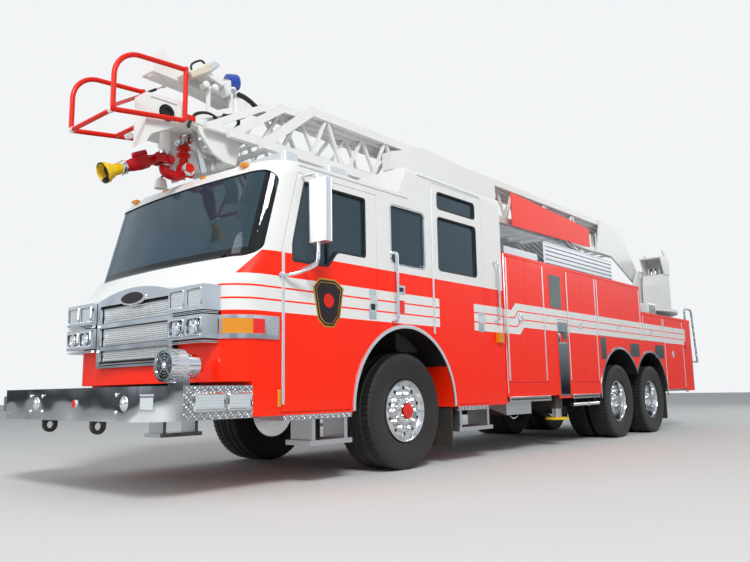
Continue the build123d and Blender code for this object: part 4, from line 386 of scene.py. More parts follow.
def in_corner_lamp(place):
    """True over the height of the lamps that wrap round the cab's front corners."""
    return abs(place.y) > 1.1 and 1.221 < place.z < 1.335


def inward(place, facing):
    """True for faces that look towards the crew."""
    towards = Vector((0.2, 0, 1.9)) - place
    return facing.dot(towards) > 0.12 * towards.length


def in_front_arch(place, facing):
    """True for the liner over a front wheel."""
    x, z, reach = FRONT_ARCH
    low_rear = place.x < -0.45 and place.z < 1.0
    return seen_off(place, x, z) < reach and abs(place.y) < ARCH_DEPTH and not low_rear


def in_rear_arch(place, facing):
    """True for the liners over the rear wheels."""
    near = any(seen_off(place, x, z) < reach for x, z, reach in REAR_ARCHES)
    return near and abs(place.y) < ARCH_DEPTH


paint_faces("cab", (
    (black_enamel, in_front_arch),
    (ground_steel, lambda p, n: abs(p.y) > 1.40 and hypot(p.x - 1.45, abs(p.y) - 1.45) < 0.0155),
    (lozenge_plate, lambda p, n: 0.58 < p.z < 1.09 and n.z > 0.9),
    (dash_vinyl, lambda p, n: p.z > 1.05 and abs(p.y) < 1.215 and inward(p, n)),
))
paint_faces("body", (
    (lozenge_plate, lambda p, n: n.z > 0.9 and p.z > 1.94),
    (black_enamel, in_rear_arch),
    (brushed_aluminium, lambda p, n: abs(p.y) < 1.21 and p.x > -8.58 and p.x < -1.86),
    (lozenge_plate, lambda p, n: n.x < -0.9 and p.x < BODY_REAR_X + 0.02),
    (black_enamel, lambda p, n: n.z < -0.9 and p.z < 0.7),
))
paint_faces("bumper", (
    (lozenge_plate, lambda p, n: n.z > 0.9 and 0.80 < p.z < 0.83),
    (lozenge_plate, lambda p, n: abs(n.y) > 0.999 and abs(p.y) > 1.24 and p.x < 2.59),
    # Lamps in the rounded corners and in the front face
    (clear_lens, lambda p, n: (
        p.x > 2.65 and abs(n.y) > 0.3 and p.z < 0.76 and hypot(p.x - 2.59, abs(p.y) - 0.98) > 0.274)),
    *((clear_lens, lambda p, n, y=y: n.x > 0.9 and p.x > 2.83 and hypot(p.y - y, p.z - BUMPER_LAMP_Z) < 0.03)
      for y in (-0.436, 0.935)),
    (red_enamel, lambda p, n: p.x > 2.862 and abs(p.y - 0.223) < 0.04),
    (rubber, lambda p, n: 2.52 < p.x < 2.60 and hypot(p.y - 1.0, p.z - 0.97) < 0.105),
))
paint_faces("headlamps", (
    # Corner lamps: amber ahead, red on the flank behind it
    (amber_lens, lambda p, n: in_corner_lamp(p) and p.x > 1.972),
    (red_lens, lambda p, n: in_corner_lamp(p) and 1.866 < p.x < 1.972 and abs(n.y) > 0.5),
    (clear_lens, lambda p, n: n.x > 0.9 and 1.40 < p.z < 1.6 and 2.25 < p.x < 2.318),
))
paint_faces("grille", (
    (black_enamel, lambda p, n: p.x < 2.215),
))
paint_faces("roof_lights", (
    (clear_lens, lambda p, n: p.z > 2.745),
))
for section, foot in (("base", 3.062), ("mid_outer", 3.110), ("mid_inner", 3.154), ("fly", 3.194)):
    # Rungs have bare ribbed aluminium under the feet
    paint_faces(f"ladder_{section}", (
        (ladder_aluminium, lambda p, n: abs(p.y) < 0.3 and foot + 0.004 < p.z < foot + 0.034),
    ))
paint_faces("ladder_fly", (
    (rubber, lambda p, n: seen_off(p, 2.188, 3.215) < 0.08 and 0.10 < p.y < 0.33),
))
paint_faces("bright_trim", (
    # Painted reflection: the polished flank panel is darkened to show what it mirrors
    (mirror_steel_painted_reflection, lambda p, n: 1.2505 < abs(p.y) < 1.2575 and -7.2 < p.x < -2.9 and abs(n.y) > 0.9),
    (bright_strip, lambda p, n: p.x > -1.2 and seen_off(p, *FRONT_ARCH[:2]) < 0.82 and abs(p.y) > 1.2),
    # Three lamps at each rear corner, one above the other, and a lamp at each end of the flank
    *((glass, lambda p, n, z=z: n.x < -0.9 and p.x < BODY_REAR_X and hypot(abs(p.y) - 1.12, p.z - z) < 0.06)
      for glass, z in ((red_lens, 1.40), (amber_lens, 1.24), (clear_lens, 1.08))),
    (amber_lens, lambda p, n: abs(p.y) > 1.262 and seen_off(p, -1.679, 1.34) < 0.07),
    (red_lens, lambda p, n: abs(p.y) > 1.262 and seen_off(p, -8.29, 1.50) < 0.07),
))
paint_faces("underbody", (
    (brushed_aluminium, lambda p, n: -2.6 < p.x < -1.7 and abs(p.y) > 0.9 and p.z < 0.7),
))
paint_faces("top_lockers", (
    (brushed_aluminium, lambda p, n: abs(n.y) > 0.5 or n.z < -0.5),
))
paint_faces("steps", (
    (brushed_aluminium, lambda p, n: n.z < 0.9 and p.z < 0.545),
))
paint_faces("turntable", (
    (lozenge_plate, lambda p, n: n.z > 0.9 and 2.05 < p.z < 2.11),
))
paint_faces("monitor", (
    (ground_steel, lambda p, n: p.z > 2.93),
))
paint_faces("nozzle", (
    (monitor_enamel, lambda p, n: (p - NOZZLE_PIVOT).length < 0.345),
    (polished_aluminium, lambda p, n: (p - NOZZLE_PIVOT).length < 0.378),
    (rubber, lambda p, n: (p - NOZZLE_PIVOT).length > 0.47 and n.x > 0.5 and abs(p.y) < 0.06),
))
for side, _ in SIDES:
    for door in ("front_door", "crew_door"):
        paint_faces(f"{door}_{side}", (
            (bright_strip, lambda p, n: abs(p.y) > 1.2502),
            (dash_vinyl, lambda p, n: abs(p.y) < 1.215),
        ))
    for letter in "abcde":
        paint_faces(f"locker_door_{letter}_{side}", (
            (bright_strip, lambda p, n: abs(p.y) > 1.2502),
            (brushed_aluminium, lambda p, n: abs(p.y) < 1.24),
        ))
    paint_faces(f"outrigger_{side}", (
        (black_enamel, lambda p, n: abs(p.y) < 1.23),
        # Painted reflection: the outrigger's polished outer panel is darkened to show what it mirrors
        (mirror_steel_painted_reflection, lambda p, n: abs(p.y) > 1.2505),
    ))
    paint_faces(f"jack_leg_{side}", (
        (yellow_enamel, lambda p, n: p.z < 0.40),
    ))


def at(x, y, z):
    """A point by its distance ahead of the front axle, to the left, and over the ground."""
    return Vector((FRONT_AXLE_X + x, y, z))


def trail(*points):
    """Several such points in a row."""
    return [at(*point) for point in points]


def spread(count, first, second, offset=0.0):
    """Even directions round a circle that starts along one way and turns towards another."""
    turns = [2 * pi * (step + offset) / count for step in range(count)]
    return [first * cos(turn) + second * sin(turn) for turn in turns]


def add_rings(mesh, rings, skin=0, wrap=False):
    """A surface over closed rings of points, each joined to the next, with its ends closed.

    Here and below, skin is the place of the surface's finish among those of its piece.
    """
    rows = [[mesh.verts.new(point) for point in ring] for ring in rings]
    pairs = list(zip(rows, rows[1:])) + ([(rows[-1], rows[0])] if wrap else [])
    for first, second in pairs:
        for here in range(len(first)):
            after = (here + 1) % len(first)
            mesh.faces.new((first[here], first[after], second[after], second[here])).material_index = skin
    if not wrap:
        for row in (rows[0], rows[-1]):
            mesh.faces.new(row).material_index = skin


def add_block(mesh, low, high, skin=0, chamfer=0.004):
    """A block between two corners, with its edges broken."""
    x, y, z = (sorted(pair) for pair in zip(low, high))
    c = min(chamfer, 0.3 * min(x[1] - x[0], y[1] - y[0], z[1] - z[0]))
    rings = []
    for i, level in ((0.6 * c, z[0]), (0, z[0] + c), (0, z[1] - c), (0.6 * c, z[1])):
        ring = (
            (x[0] + c, y[0] + i), (x[1] - c, y[0] + i), (x[1] - i, y[0] + c), (x[1] - i, y[1] - c),
            (x[1] - c, y[1] - i), (x[0] + c, y[1] - i), (x[0] + i, y[1] - c), (x[0] + i, y[0] + c),
        )
        rings.append([at(u, v, level) for u, v in ring])
    add_rings(mesh, rings, skin)


def add_slats(mesh, low, high, pitch, count, skin=0, chamfer=0.004):
    """Equal blocks one above the other; the corners are those of the lowest."""
    for slat in range(count):
        rise = UPWARD * (pitch * slat)
        add_block(mesh, Vector(low) + rise, Vector(high) + rise, skin, chamfer)


def add_turned(mesh, origin, axis, outline, skin=0, steps=32):
    """A form turned round an axis; its outline gives distances along the axis and radii, in millimetres."""
    turn = Vector(axis).to_track_quat("Z", "Y")
    rings = []
    for reach, r in outline:
        middle = origin + turn @ UPWARD * reach / 1000
        r = max(r, 0.2) / 1000
        rings.append([middle + turn @ way * r for way in spread(steps, AHEAD, LEFTWARD)])
    add_rings(mesh, rings, skin)


def add_tube(mesh, points, radius, skin=0, sides=12, rib=0.0, curved=True):
    """A round tube through points; a curved one passes smoothly, and a rib makes a corrugated hose."""
    route = [Vector(point) for point in points]
    if curved and len(route) > 2:
        bent = []
        for here in range(len(route) - 1):
            a, b, c, d = (route[min(max(here + k, 0), len(route) - 1)] for k in (-1, 0, 1, 2))
            for step in range(8):
                t = step / 8
                second, third = 2 * a - 5 * b + 4 * c - d, 3 * b - a - 3 * c + d
                bent.append(0.5 * (2 * b + (c - a) * t + second * t * t + third * t ** 3))
        route = bent + [route[-1]]
    if rib:
        fine = []
        for first, second in zip(route, route[1:]):
            count = max(1, round((second - first).length / (rib / 2)))
            fine += [first.lerp(second, step / count) for step in range(count)]
        route = fine + [route[-1]]
    rings = []
    across = Vector((0.13, 0.31, 0.94))
    for place, point in enumerate(route):
        along = (route[min(place + 1, len(route) - 1)] - route[max(place - 1, 0)]).normalized()
        across = (across - along * across.dot(along)).normalized()
        other = along.cross(across)
        reach = radius * (1.0 if not rib or place % 2 else 0.86)
        rings.append([point + way * reach for way in spread(sides, across, other)])
    add_rings(mesh, rings, skin)


def corners(outline):
    """Each corner of an outline between the one before it and the one after it."""
    loop = [Vector(point) for point in outline]
    return list(zip(loop[-1:] + loop[:-1], loop, loop[1:] + loop[:1]))


def inset(outline, distance):
    """An outline drawn in by a distance; below zero it grows."""
    area = sum(here.x * after.y - after.x * here.y for _, here, after in corners(outline))
    moved = []
    for before, here, after in corners(outline):
        first, second = (here - before).normalized(), (after - here).normalized()
        normals = [Vector((-way.y, way.x)) * copysign(1, area) for way in (first, second)]
        middle = (normals[0] + normals[1]).normalized()
        moved.append(tuple(here + middle * distance / max(middle.dot(normals[0]), 0.3)))
    return moved


def rounded(outline, radius):
    """An outline with its corners rounded."""
    soft = []
    for before, here, after in corners(outline):
        start = here + (before - here).normalized() * radius
        end = here + (after - here).normalized() * radius
        for step in range(6):
            t = step / 5
            soft.append(tuple(start * (1 - t) ** 2 + here * 2 * t * (1 - t) + end * t * t))
    return soft


def rectangle(u0, v0, u1, v1, radius):
    """The outline of a rectangle between two corners, with its corners rounded."""
    return rounded([(u0, v0), (u1, v0), (u1, v1), (u0, v1)], radius)


def oval(u, v, half_u, half_v, steps):
    """The outline of an oval round a middle."""
    return [(u + half_u * way.x, v + half_v * way.y) for way in spread(steps, AHEAD, LEFTWARD)]


def sleeve(reach, inner, outer):
    """The outline of a collar, for add_turned."""
    return [(0, inner), (0, outer), (reach, outer), (reach, inner)]


def lay(rings, plane):
    """Outlines as rings of points: each drawn in the plane XZ or YZ, at its depth across that plane."""
    if plane == "XZ":
        return [[at(u, w, v) for u, v in outline] for outline, w in rings]
    return [[at(w, u, v) for u, v in outline] for outline, w in rings]


def add_plate(mesh, outline, near, far, skin=0, chamfer=0.002, plane="XZ"):
    """A plate with broken edges: its outline in a plane, and its two depths across that plane."""
    c = min(chamfer, abs(far - near) * 0.4)
    way = copysign(c, far - near)
    small = inset(outline, c)
    rings = [(small, near), (outline, near + way), (outline, far - way), (small, far)]
    add_rings(mesh, lay(rings, plane), skin)


def add_band(mesh, outline, outward, inwards, near, far, skin=0, plane="XZ"):
    """A band that follows an outline, such as a window's rubber or frame."""
    big, small = inset(outline, -outward), inset(outline, inwards)
    crest, middle = inset(outline, 0.25 * (inwards - outward)), (near + far) / 2
    rings = [(big, near), (big, middle), (crest, far), (small, middle), (small, near)]
    add_rings(mesh, lay(rings, plane), skin, wrap=True)


def add_cushion(mesh, centre, half, turn, skin=0):
    """A sewn cushion: a crowned form whose sides draw in between its corners, with two sewn channels."""
    rings = []
    for rise in range(-9, 10):
        level = pi / 2 * rise / 9
        ring = []
        for step in range(44):
            angle = 2 * pi * step / 44
            u = copysign(abs(cos(angle)) ** 0.35, cos(angle)) * cos(level) ** 0.3
            v = copysign(abs(sin(angle)) ** 0.35, sin(angle)) * cos(level) ** 0.3
            draw = 1 - 0.03 * (1 - max(abs(u), abs(v)) ** 4) - 0.02 * cos(2 * angle) ** 2
            w = copysign(abs(sin(level)) ** 0.55, level)
            sewn = sum(exp(-((v - line) / 0.05) ** 2) for line in (-0.34, 0.34)) * 0.16 if rise > 0 else 0
            crown = 1 + 0.12 * (1 - u * u) * (1 - v * v)
            point = Vector((half[0] * u * draw, half[1] * v * draw, half[2] * (w * crown - sewn)))
            ring.append(centre + turn @ point)
        rings.append(ring)
    add_rings(mesh, rings, skin)


# Faces that meet at more than this keep a sharp edge between them
SHARP_ANGLE = radians(34)


def piece(name, mesh, body, slot, *finishes):
    """Turns a mesh into an object that rides on a body, with its finishes; the colour slot is not used."""
    bmesh.ops.recalc_face_normals(mesh, faces=mesh.faces)
    data = bpy.data.meshes.new(name)
    mesh.to_mesh(data)
    mesh.free()
    for finish in finishes:
        data.materials.append(finish)
    data.polygons.foreach_set("use_smooth", [True] * len(data.polygons))
    data.set_sharp_from_angle(angle=SHARP_ANGLE)
    made = bpy.data.objects.new(name, data)
    bpy.context.collection.objects.link(made)
    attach(made, body)
    return made


# Wheels: tyres with their tread, polished rims, nuts and hub caps
RIM_R = 0.3003


def add_tyre(mesh, centre, sign, tyre_r, width, lugs):
    """A tyre on its own axis: bulged walls with a scrub rib, and a tread of ribs or of blocks."""
    half = width / 2
    # Shares of half the width, and of the height from the rim to the tread
    wall = ((0.965, 0.38), (1.0, 0.58), (0.995, 0.73), (1.0, 0.75), (0.965, 0.88))
    outline = [(0.78 * half, RIM_R - 0.004, "wall"), (0.90 * half, RIM_R + 0.014, "wall")]
    outline += [(share * half, RIM_R + rise * (tyre_r - RIM_R), "wall") for share, rise in wall]
    outline.append((0.93 * half, tyre_r - 0.016, "shoulder"))
    for place, share in enumerate((0.885, 0.56, 0.53, 0.47, 0.44, 0.17, 0.14, 0.08, 0.05)):
        crown = tyre_r - 0.005 * share ** 4
        groove = place % 4 in (2, 3)
        outline.append((share * half, crown - 0.012, "groove") if groove else (share * half, crown, "rib"))
    outline += [(-y, r, part) for y, r, part in reversed(outline)]
    steps = 256
    deep, smooth_share = (0.013, 0.1) if lugs else (0.009, 0.5)
    rings = []
    for y, r, part in outline:
        middle = centre + LEFTWARD * (sign * y)
        cuttable = part == "shoulder" or part == "rib" and abs(y) > smooth_share * half
        ring = []
        for step in range(steps):
            # Every fourth step is a cut across the blocks
            cut = cuttable and (step + (2 if y > 0 else 0)) % 4 == 0
            reach = r - (deep if cut else 0)
            angle = 2 * pi * (step + (0.5 if abs(y) > 0.3 * half else 0)) / steps
            ring.append(middle + (AHEAD * sin(angle) + UPWARD * cos(angle)) * reach)
        rings.append(ring)
    add_rings(mesh, rings, wrap=True)


FRONT_RIM = (
    (-200, 292), (-200, 300), (150, 300), (192, 300), (200, 296), (200, 289), (186, 281),
    (158, 272), (150, 262), (158, 252), (168, 235), (170, 205), (166, 190),
    (166, 128), (196, 124), (204, 114), (206, 90), (206, 0),
)
REAR_RIM = (
    (-120, 292), (-120, 300), (105, 300), (114, 298), (116, 289), (100, 281), (40, 272),
    (-60, 268), (-135, 262), (-150, 245), (-150, 120), (-145, 110), (60, 104),
    (76, 96), (84, 80), (86, 0),
)
INNER_RIM = ((-100, 292), (-100, 300), (100, 300), (100, 270), (-100, 270))
NUT = ((0, 24), (6, 24), (8, 19), (26, 18), (30, 14), (45, 11), (45, 0))
for name in [name for name in nodes if "wheel" in name]:
    low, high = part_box(name)
    sign = 1 if name.endswith("left") else -1
    front = name.startswith("front")
    hub = Vector(((low[0] + high[0]) / 2, 0, (low[2] + high[2]) / 2))
    tyre_r = (high[0] - low[0]) / 2
    axle = LEFTWARD * sign
    rows = (0.982,) if front else (1.065, 0.725)
    mesh = bmesh.new()
    for y in rows:
        add_tyre(mesh, hub + axle * y, sign, tyre_r, 0.425 if front else 0.298, not front)
    face = hub + axle * rows[0]
    add_turned(mesh, face, axle, FRONT_RIM if front else REAR_RIM, 1, 96)
    # Wheel nuts with their studs, and a hand hole between each two, which lie on the disc and its lips
    disc, lip, hole_mm = (0.166, 0.169, 17) if front else (-0.150, -0.150, 26)
    for way in spread(10, UPWARD, AHEAD, 0.5):
        add_turned(mesh, face + way * 0.1675 + axle * disc, axle, NUT, 2, 6)
    for way in spread(10, UPWARD, AHEAD):
        spot = face + way * 0.222 + axle * lip
        ring = [(-4, hole_mm + 7), (3, hole_mm + 5), (3, hole_mm), (1, hole_mm)]
        add_turned(mesh, spot, axle, ring, 1, 20)
        # Painted shade: a black disc fills each hand hole in place of the dark behind it
        add_turned(mesh, spot, axle, [(-2, hole_mm), (1.5, hole_mm), (1.5, 0)], 3, 20)
    if front:
        add_turned(mesh, face, axle, [(200, 98), (212, 98), (214, 80), (206, 76)], 1, 40)
        add_turned(mesh, face, axle, [(222, 74), (232, 72), (236, 60), (238, 0)], 4, 40)
    else:
        add_turned(mesh, hub + axle * rows[1], axle, INNER_RIM, 1, 48)
    count, ring_r, foot, tall_mm = (6, 0.086, 0.208, 11) if front else (8, 0.078, 0.078, 16)
    for way in spread(count, UPWARD, AHEAD):
        stud = [(0, 9), (tall_mm, 9), (tall_mm + 3, 6), (tall_mm + 3, 0)]
        add_turned(mesh, face + way * ring_r + axle * foot, axle, stud, 2, 6)
    finishes = (tyre_rubber, polished_aluminium, polished_steel, rubber, red_enamel)
    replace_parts(piece(f"{name}_dressed", mesh, name, "tyre_rubber", *finishes), name)

# Grille: three panels of wire mesh, and a blank oval badge in a bright rim
mesh = bmesh.new()
for low, high in ((1.060, 1.172), (1.198, 1.358), (1.402, 1.542)):
    add_block(mesh, (2.226, -0.546, low), (2.236, 0.546, high))
    for end, edge in ((-1, low), (1, high)):
        y, z = end * 0.535, edge - end * 0.008
        add_block(mesh, (2.230, y - 0.010, low), (2.244, y + 0.010, high), 1)
        add_block(mesh, (2.230, -0.546, z - 0.007), (2.243, 0.546, z + 0.007), 1)
        # Painted shade: a dark strip stands in for the shadowed gap between each panel and the slats around
        # it
        y, z = end * 0.551, edge + end * 0.004
        add_block(mesh, (2.226, y - 0.006, low - 0.006), (2.250, y + 0.006, high + 0.006), 2, 0.001)
        add_block(mesh, (2.226, -0.556, z - 0.005), (2.250, 0.556, z + 0.005), 2, 0.001)
piece("grille_panels", mesh, "chassis", "polished_steel", grille_wire, polished_steel, black_enamel)
mesh = bmesh.new()
badge = oval(0, 1.592, 0.20, 0.068, 48)
add_plate(mesh, badge, 2.262, 2.284, 0, 0.006, "YZ")
add_plate(mesh, inset(badge, 0.018), 2.275, 2.287, 1, 0.003, "YZ")
piece("grille_badge", mesh, "chassis", "polished_steel", polished_steel, badge_field)

# Headlamps: a bulb behind fluted glass in each bowl, bright bezels, and louvres under each row
REFLECTOR = ((20, 60), (36, 58), (30, 50), (38, 47), (30, 38), (36, 35), (26, 22))
BULB = ((26, 22), (38, 19), (43, 10), (44, 0))
mesh = bmesh.new()
for _, sign in SIDES:
    for y in (sign * 0.7298, sign * 0.9632):
        for low, high in ((1.208, 1.337), (1.428, 1.570)):
            bezel = rectangle(y - 0.094, low, y + 0.094, high, 0.016)
            add_band(mesh, bezel, 0.010, 0.006, 2.318, 2.328, plane="YZ")
        # The lower bowl: reflector rings step down to a small clear bulb, with a screw at each corner
        middle = at(2.285, y, 1.2725)
        add_turned(mesh, middle, AHEAD, REFLECTOR)
        add_turned(mesh, middle, AHEAD, BULB, 1, 24)
        for dy in (-0.078, 0.078):
            for dz in (-0.05, 0.05):
                screw = middle + Vector((0.006, dy, dz))
                add_turned(mesh, screw, AHEAD, [(-4, 9), (8, 9), (11, 0)], 0, 12)
        # The upper bowl has flutes instead
        add_slats(mesh, (2.305, y - 0.08, 1.456), (2.316, y + 0.08, 1.464), 0.0175, 6, 1, 0.002)
    for level in (1.148, 1.376):
        add_slats(mesh, (2.10, sign * 0.62, level), (2.313, sign * 1.07, level + 0.006), 0.012, 2, 0, 0.002)
    # Slotted panel behind the corner lamps
    add_slats(mesh, (1.730, sign * 1.262, 1.214), (1.842, sign * 1.269, 1.221), 0.0145, 9, 0, 0.002)
piece("headlamp_glass", mesh, "chassis", "lamp_plastic", polished_steel, clear_lens, black_enamel)

# Bumper: bolts round the fittings, an upright bezel with a square lamp, and lamps on the flanks
DOME = (
    (0, 56), (5, 56), (9, 50), (4, 45), (12, 42), (22, 33), (28, 18),
    (30, 0),
)
BOLT = ((0, 15), (6, 15), (11, 8), (12, 0))
mesh = bmesh.new()
for y, bolt_sides in ((-0.436, (-0.105, 0.105)), (0.935, (-0.105,))):
    add_turned(mesh, at(2.854, y, BUMPER_LAMP_Z), AHEAD, DOME, 0, 40)
    for dy in bolt_sides:
        for dz in (-0.062, 0.062):
            add_turned(mesh, at(2.858, y + dy, BUMPER_LAMP_Z + dz), AHEAD, BOLT, 0, 16)
for _, sign in SIDES:
    y = sign * HALF_WIDTH
    for front, rear in ((2.500, 2.235), (2.200, 1.990)):
        rim = rectangle(rear, 0.644, front, 0.760, 0.014)
        add_band(mesh, rim, 0.010, 0.008, y, y + sign * 0.020)
        add_plate(mesh, inset(rim, 0.006), y, y + sign * 0.014, 1, 0.005)
        low, high = (rear + 0.012, sign * 1.262, 0.664), (front - 0.012, sign * 1.2655, 0.668)
        add_slats(mesh, low, high, 0.023, 4, 0, 0.001)
    # Upright bezel round the corner lamp: two bars along each of its two ways
    corner = sign * radians(37)
    aim, across = Vector((cos(corner), sin(corner), 0)), Vector((-abs(sin(corner)), sign * cos(corner), 0))
    middle = at(2.59, sign * 0.98, BUMPER_LAMP_Z) + aim * 0.276
    for foot, run in ((across * 0.052, UPWARD * 0.062), (UPWARD * 0.056, across * 0.052)):
        for bar in (middle + foot, middle - foot):
            add_tube(mesh, (bar - run, bar + run), 0.008, 0, 8)
piece("bumper_bolts", mesh, "chassis", "polished_steel", polished_steel, clear_lens)

# Siren: a ring of cooling slots on its housing and a round guard in its mouth
mesh = bmesh.new()
mouth = at(2.545, 1.0, 0.970)
for ring_mm in (100, 78, 56, 34):
    guard = [(40, ring_mm - 4), (46, ring_mm - 4), (46, ring_mm + 4), (40, ring_mm + 4)]
    add_turned(mesh, mouth, AHEAD, guard, 0, 40)
for way in spread(8, LEFTWARD, UPWARD):
    spoke = mouth + AHEAD * 0.043
    add_tube(mesh, (spoke + way * 0.02, spoke + way * 0.106), 0.003, 0, 6)
add_turned(mesh, mouth, AHEAD, [(30, 26), (50, 24), (56, 12), (57, 0)], 0, 24)
for way in spread(28, LEFTWARD, UPWARD):
    rib = mouth - AHEAD * 0.093 + way * 0.1215
    add_tube(mesh, (rib, rib + AHEAD * 0.125), 0.0045, 0, 6)
piece("siren_guard", mesh, "chassis", "polished_steel", polished_steel)

# Cab: window rubbers and frames, shields, lamps, gutters, latches and reflectors
DOOR_PANE = (
    (1.56, 1.84), (1.13, 1.84), (1.01, 1.985), (0.63, 1.985), (0.63, 2.56), (1.425, 2.56), (1.56, 2.0),
)
CREW_PANES = ((-0.52, 2.0, -1.265, 2.59), (-0.52, 2.67, -1.255, 2.865))
SHIELD = (
    (1.321, 1.652), (1.244, 1.736), (1.046, 1.736), (0.941, 1.668), (0.989, 1.407), (1.071, 1.31),
    (1.189, 1.311), (1.265, 1.375),
)
for side, sign in SIDES:
    y = sign * HALF_WIDTH
    rubber_depths = y - sign * 0.012, y + sign * 0.004
    mesh = bmesh.new()
    add_band(mesh, rounded(DOOR_PANE, 0.035), 0.006, 0.020, *rubber_depths)
    # Upright bar between the quarter light and the sliding pane
    add_block(mesh, (1.118, y - sign * 0.018, 1.86), (1.142, y - sign * 0.004, 2.55))
    # Shield with a gold border and a gold line inside it, round a red disc
    add_plate(mesh, SHIELD, y, y + sign * 0.0022, 1, 0.0008)
    add_plate(mesh, inset(SHIELD, 0.014), y + sign * 0.001, y + sign * 0.003, 2, 0.0005)
    add_band(mesh, inset(SHIELD, 0.034), 0.002, 0.003, y + sign * 0.002, y + sign * 0.0038, 1)
    add_plate(mesh, oval(1.131, 1.545, 0.062, 0.062, 32), y + sign * 0.002, y + sign * 0.0042, 3, 0.0005)
    add_plate(mesh, rectangle(0.497, 1.42, 0.60, 1.695, 0.012), y, y + sign * 0.006, 4)
    add_plate(mesh, rectangle(0.517, 1.505, 0.578, 1.64, 0.014), y, y + sign * 0.008)
    finishes = (rubber, gold_leaf, badge_field, red_enamel, polished_steel)
    piece(f"front_door_trim_{side}", mesh, f"front_door_{side}", "dark_trim", *finishes)

    mesh = bmesh.new()
    for extent in CREW_PANES:
        add_band(mesh, rectangle(*extent, 0.05), 0.006, 0.018, *rubber_depths)
    add_plate(mesh, rectangle(-1.25, 1.39, -1.36, 1.62, 0.012), y, y + sign * 0.006, 1)
    piece(f"crew_door_trim_{side}", mesh, f"crew_door_{side}", "dark_trim", rubber, polished_steel)

    mesh = bmesh.new()
    pane = rectangle(0.262, 1.985, -0.29, 2.575, 0.055)
    add_band(mesh, pane, 0.016, 0.010, y - sign * 0.012, y + sign * 0.008)
    for gutter in (((1.486, y, 2.690), (-0.012, y, 2.684)), ((-0.18, y, 2.972), (-1.36, y, 2.962))):
        add_tube(mesh, trail(*gutter), 0.006, 0, 8)
    # Plates on the sill and the pillar: each rectangle with its height, finish and broken edge
    for extent, height, skin, chamfer in (
        ((1.687, 0.645, 1.723, 0.782, 0.012), 0.016, 1, 0.006),
        ((0.071, 1.51, 0.179, 1.63, 0.006), 0.004, 2, 0.002),
        ((0.060, 1.69, 0.190, 1.78, 0.006), 0.005, 0, 0.002),
        ((0.085, 1.712, 0.165, 1.758, 0.006), 0.006, 3, 0.002),
    ):
        add_plate(mesh, rectangle(*extent), y, y + sign * height, skin, chamfer)
    add_turned(mesh, at(1.705, y, 0.714), LEFTWARD * sign, [(0, 18), (8, 17), (12, 0)], 2, 20)
    # Mirror glass on the rear faces of the heads, and the lower arm that braces them
    add_plate(mesh, rectangle(sign * 1.36, 2.02, sign * 1.54, 2.50, 0.02), 1.398, 1.392, 4, plane="YZ")
    arm = (1.674, 1.25, 1.706), (1.64, 1.29, 1.712), (1.56, 1.36, 1.74), (1.47, 1.44, 1.8), (1.452, 1.45, 1.9)
    add_tube(mesh, [at(x, sign * out, z) for x, out, z in arm], 0.016, 0, 14)
    foot = [(0, 34), (10, 33), (14, 22), (16, 0)]
    add_turned(mesh, at(1.674, sign * 1.246, 1.706), LEFTWARD * sign, foot, 0, 24)
    # Clearance lamps on the brow
    for out in (sign * 0.87, sign * 0.30):
        add_block(mesh, (1.745, out - 0.045, 2.690), (1.800, out + 0.045, 2.722), 1, 0.010)
    finishes = (polished_steel, amber_lens, red_lens, black_enamel, mirror_glass)
    piece(f"cab_side_trim_{side}", mesh, "chassis", "polished_steel", *finishes)

# Inside the cab: seats, dashboard and steering wheel
SEATS = ((0.78, 1, 0.76), (-0.08, -1, 0.76), (-1.25, 1, 0.76), (-1.25, 1, 0.25))
cushions, fittings = bmesh.new(), bmesh.new()
for rear, ahead, out in SEATS:
    upright = Matrix(((0, 0, ahead), (0, 1, 0), (-ahead, 0, 0)))
    back = rear + ahead * 0.06
    plinth_foot = 1.1505 if out > 0.58 else 1.4405
    for y in (out, -out):
        add_cushion(cushions, at(rear + ahead * 0.28, y, 1.545), (0.22, 0.235, 0.060), Matrix.Identity(3))
        add_cushion(cushions, at(back, y, 1.86), (0.27, 0.235, 0.048), upright)
        add_cushion(cushions, at(back, y, 2.175), (0.070, 0.14, 0.042), upright)
        add_block(fittings, (back, y - 0.22, plinth_foot), (rear + ahead * 0.46, y + 0.22, 1.490), 1, 0.02)
        add_tube(fittings, trail((back, y - 0.05, 2.05), (back, y - 0.05, 2.15)), 0.008, 2, 8)
dash = ((1.70, 1.50), (1.96, 1.50), (1.96, 1.79), (1.86, 1.79), (1.74, 1.70))
add_plate(fittings, rounded(dash, 0.03), -1.0, 1.0, 1, 0.02)
add_plate(fittings, rectangle(1.70, 1.40, 1.90, 1.55, 0.02), -0.58, 0.58, 1, 0.02)
hub = at(1.640, 0.70, 1.80)
tilt = Matrix.Rotation(-pi / 4, 3, "Y")
rim = [hub + tilt @ way * 0.215 for way in spread(24, AHEAD, LEFTWARD)]
add_tube(fittings, rim + rim[:1], 0.014, 0, 10, curved=False)
for spoke in range(4):
    angle = pi * spoke / 2 + 0.5
    add_tube(fittings, (hub, hub + tilt @ Vector((cos(angle), sin(angle), 0)) * 0.21), 0.010, 0, 8)
column = [(-30, 0), (-30, 40), (0, 50), (140, 30), (160, 30)]
add_turned(fittings, hub, (1, 0, -1), column, 1, 24)
seats = piece("seat_cushions", cushions, "chassis", "seat_cloth", seat_cloth)
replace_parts(seats, "cab_interior")
piece("cab_fittings", fittings, "chassis", "seat_cloth", rubber, dash_vinyl, polished_steel)

